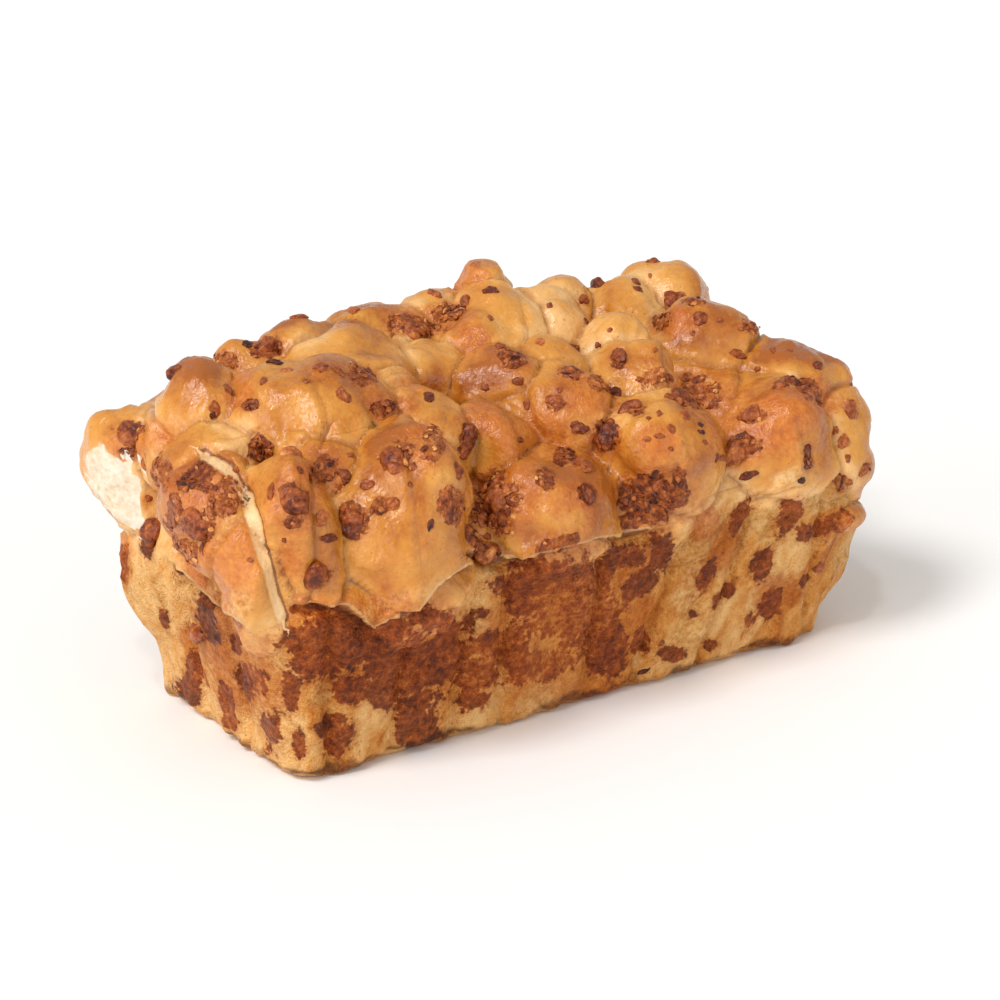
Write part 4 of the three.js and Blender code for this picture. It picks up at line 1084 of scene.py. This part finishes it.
def granule_piece(mesh, meat, crumble, dark, material):
    """Granules of chopped meat over the patches: one of the skin's points in each cell of a
    grid, where a patch of meat or a crumble is strong. They are larger in a loose crumble."""
    points, normals = mesh_points(mesh), mesh_normals(mesh)
    rng = np.random.default_rng(SEED)
    patchy = np.maximum(meat - 0.35 * noise(points, 7.0, 99) - 0.5 * dark + 0.15, crumble + 0.2)
    inside = np.nonzero(patchy + 0.25 * noise(points, 2.0, 97) > 0.12)[0]
    inside = rng.permutation(inside)
    cell = np.floor(points[inside] / GRANULE_SPACING).astype(np.int64)
    _, first = np.unique(cell @ np.array([1, 4096, 4096 ** 2]), return_index=True)
    chosen = inside[first][:GRANULE_LIMIT]
    count = len(chosen)
    wide = rng.uniform(0.7, 1.5, count) * (0.62 + 0.45 * smooth(-0.1, 0.2, crumble[chosen]))
    long, thick = wide * rng.uniform(1.0, 2.0, count), wide * rng.uniform(0.3, 0.6, count)
    halves = np.stack([long, wide, thick], -1)
    centres = points[chosen] + rng.uniform(-0.5, 0.5, (count, 3)) - normals[chosen] * halves[:, 2:] * 0.5
    tones = dark[chosen] * 0.6 + 0.1 + 0.16 * rng.normal(size=count)
    firsts = turned(normals[chosen], np.tile(RIGHT, (count, 1)), rng.uniform(0, np.pi, count))
    return nuggets("pepperoni_granules", centres, normals[chosen], firsts, halves, tones,
                   facets=2, roughness=0.42, material=material)


def bit_piece(tree, material):
    """Single bits: the small ones that the photo shows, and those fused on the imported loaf,
    which stand at the same places by the same draws."""
    rows = []
    for x, y, wide, tall, tilt, dark in BITS:
        hit = hit_mm(tree, CAMERA, photo_way(x, y))
        if hit:
            point, normal = hit
            seen_wide, seen_tall = (max(0.5, math.sqrt(1 - min(1, (axis @ normal) ** 2)))
                                    for axis in (RIGHT, UP))
            halves = (wide / seen_wide, tall / seen_tall, 0.45 * min(wide, tall) + 0.3)
            rows.append((point - normal * 0.2 * halves[2], normal, RIGHT, halves,
                         math.radians(-tilt), dark))
    taken = []
    for name in CHUNK_NODES:
        low, high = (np.array(corner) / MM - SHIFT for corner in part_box(name))
        taken.append(((low + high) / 2, max(high - low) / 2 + 1))
    places = list(FUSED_BITS)
    draws = Draws(SEED)
    for number in range(FAR_BIT_COUNT):
        side, half = ("right", BASE_WIDTH / 2) if number % 3 == 2 else ("back", BASE_LENGTH / 2)
        across, up = half * (2 * draws() - 1), RIM_HEIGHT + 4 + 36 * draws()
        low, high = FAR_BIT_RADIUS
        places.append((side, across, up, low + (high - low) * draws() ** 2, 0.5))
    turn = 0
    for side, across, up, radius, dark in places:
        hit = side_hit(tree, side, across, up)
        if not hit or any(np.linalg.norm(hit[0] - place) < reach + BIT_GAP * radius
                          for place, reach in taken):
            continue
        point, normal = hit
        taken.append((point, radius))
        lead = np.array([1.0, 0.0, -normal[0] / (1 + normal[2])])
        rows.append((point - normal * radius * 0.15, normal, lead, radius * BIT_SHAPE,
                     math.radians(turn), dark))
        turn += BIT_TURN
    centres, normals, leads, halves, turns, tones = (np.array(column, float) for column in zip(*rows))
    return nuggets("pepperoni_bits", centres, normals, turned(normals, leads, turns), halves,
                   tones * 0.7 + 0.06, facets=3, roughness=0.34, material=material)


def chunk_piece(material):
    """The berry-sized chunks: each imported chunk's own form, made smooth by subdivision,
    swollen back to its size and roughened by noise."""
    points, faces, tones, first = [], [], [], 0
    for number, name in enumerate(CHUNK_NODES):
        shape = bmesh.new()
        shape.from_mesh(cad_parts[name].data)
        bmesh.ops.remove_doubles(shape, verts=shape.verts, dist=1e-6)
        mesh = bpy.data.meshes.new("chunk")
        shape.to_mesh(mesh)
        shape.free()
        copy = linked("chunk", mesh)
        finer = copy.modifiers.new("finer", "SUBSURF")
        finer.levels = finer.render_levels = 2
        made = modified(copy)
        place, normal = mesh_points(made), mesh_normals(made)
        place = place.mean(0) + (place - place.mean(0)) * CHUNK_SWELL
        lift = 1.3 * np.abs(noise(place, 3.4, 83)) - 0.4 + 0.45 * noise(place, 1.5, 89)
        points.append(place + normal * lift[:, None])
        faces += [[i + first for i in face.vertices] for face in made.polygons]
        # Raised parts of a chunk get a lighter tone and hollows a darker one: painted highlight and
        # shade, over a tone that differs by chunk and by noise.
        tones.append(0.42 + 0.14 * float(lattice_value(np.array([number, 3, 5]), 9))
                     + 0.2 * noise(place, 4.0, 93) - 0.22 * lift)
        first += len(place)
    mesh = make_mesh("pepperoni_chunks", np.vstack(points), faces)
    piece = make_piece("pepperoni_chunks", mesh, material)
    set_field(piece.data, "tone", np.concatenate(tones))
    return piece


def eased(values, limit, play=2.0):
    """Values held softly inside a limit on either side: past limit - play they bend over."""
    over = np.maximum(np.abs(values) - (limit - play), 0)
    return np.sign(values) * (np.abs(values) - over + play * (1 - np.exp(-over / play)))


def seated(piece, moved):
    """Moves a piece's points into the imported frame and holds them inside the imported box."""
    points = mesh_points(piece.data) + moved
    middle, half = (CAD_HIGH + CAD_LOW) / 2, (CAD_HIGH - CAD_LOW) / 2
    points[:, :2] = middle[:2] + eased(points[:, :2] - middle[:2], half[:2])
    points[:, 2] = np.clip(eased(points[:, 2], CAD_HIGH[2]), 0, None)
    set_points(piece.data, points)


rough_mesh = rough_skin()
rough_points = mesh_points(rough_mesh)
loaf_low, loaf_high = (np.array(corner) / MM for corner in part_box("loaf"))
SHIFT = ((loaf_low + loaf_high) - (rough_points.min(0) + rough_points.max(0))) / 2 * (1, 1, 0)
skin_mesh, meat_field, crumble_field, dark_field = finished_skin(rough_mesh)
crust, pepperoni = baked_crust(), browned_pepperoni()
granules = granule_piece(skin_mesh, meat_field, crumble_field, dark_field, pepperoni)
bits = bit_piece(tree_of(skin_mesh), pepperoni)
chunks = chunk_piece(pepperoni)
loaf = make_piece("loaf_skin", skin_mesh, crust)
for piece, moved, slot_name, nodes in ((loaf, SHIFT, "crust", ["loaf"]),
                                       (granules, SHIFT, "pepperoni", ["loaf"]),
                                       (bits, SHIFT, "pepperoni", ["loaf"]),
                                       (chunks, SHIFT * 0, "pepperoni", CHUNK_NODES)):
    seated(piece, moved)
    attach(piece, "root")
    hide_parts(*nodes)


# ---- floor, light and camera -----------------------------------------------------------
FLOOR_HALF = 3000                          # half the floor's side (mm)
# Suns: name, where the light comes from, its spread in degrees and its strength.
SUNS = [
    ("key", (-0.62, -0.1, 0.82), 18, 1.6), ("left_fill", (-1.0, -0.15, 0.25), 40, 1.05),
    ("front_fill", (0.2, -1.0, 0.3), 50, 0.5), ("glints", (-0.35, -0.3, 0.9), 4, 0.3),
]
SKY_STRENGTH = 0.52


def turned_back(name, data, way):
    """A light or camera whose back points one way."""
    made = linked(name, data)
    made.rotation_euler = Vector(way).to_track_quat("Z", "Y").to_euler()
    return made


def studio():
    """A pale floor under a soft white sky and four suns."""
    material, _, shader = new_material("pale_floor")
    shader.inputs["Base Color"].default_value = linear("#fbfaf8")
    shader.inputs["Roughness"].default_value = 0.9
    corners = [(x * FLOOR_HALF, y * FLOOR_HALF, 0) for x, y in ((-1, -1), (1, -1), (1, 1), (-1, 1))]
    floor = make_piece("floor", make_mesh("floor", corners, [(0, 1, 2, 3)]), material)
    world = bpy.data.worlds.new("studio")
    world.use_nodes = True
    background = world.node_tree.nodes["Background"]
    background.inputs["Color"].default_value = (1.0, 0.99, 0.975, 1.0)
    background.inputs["Strength"].default_value = SKY_STRENGTH
    bpy.context.scene.world = world
    bpy.context.scene.view_settings.view_transform = "Standard"
    for name, way, spread, strength in SUNS:
        data = bpy.data.lights.new(name, "SUN")
        data.energy, data.angle = strength, math.radians(spread)
        turned_back(name, data, way)


def photo_camera():
    """The camera that sees the bread as the photo does."""
    data = bpy.data.cameras.new("camera")
    data.lens, data.sensor_width, data.clip_end = LENS, SENSOR, 20.0
    camera = turned_back("camera", data, BACK)
    camera.location = Vector(CAMERA + SHIFT) * MM
    bpy.context.scene.camera = camera


studio()
photo_camera()
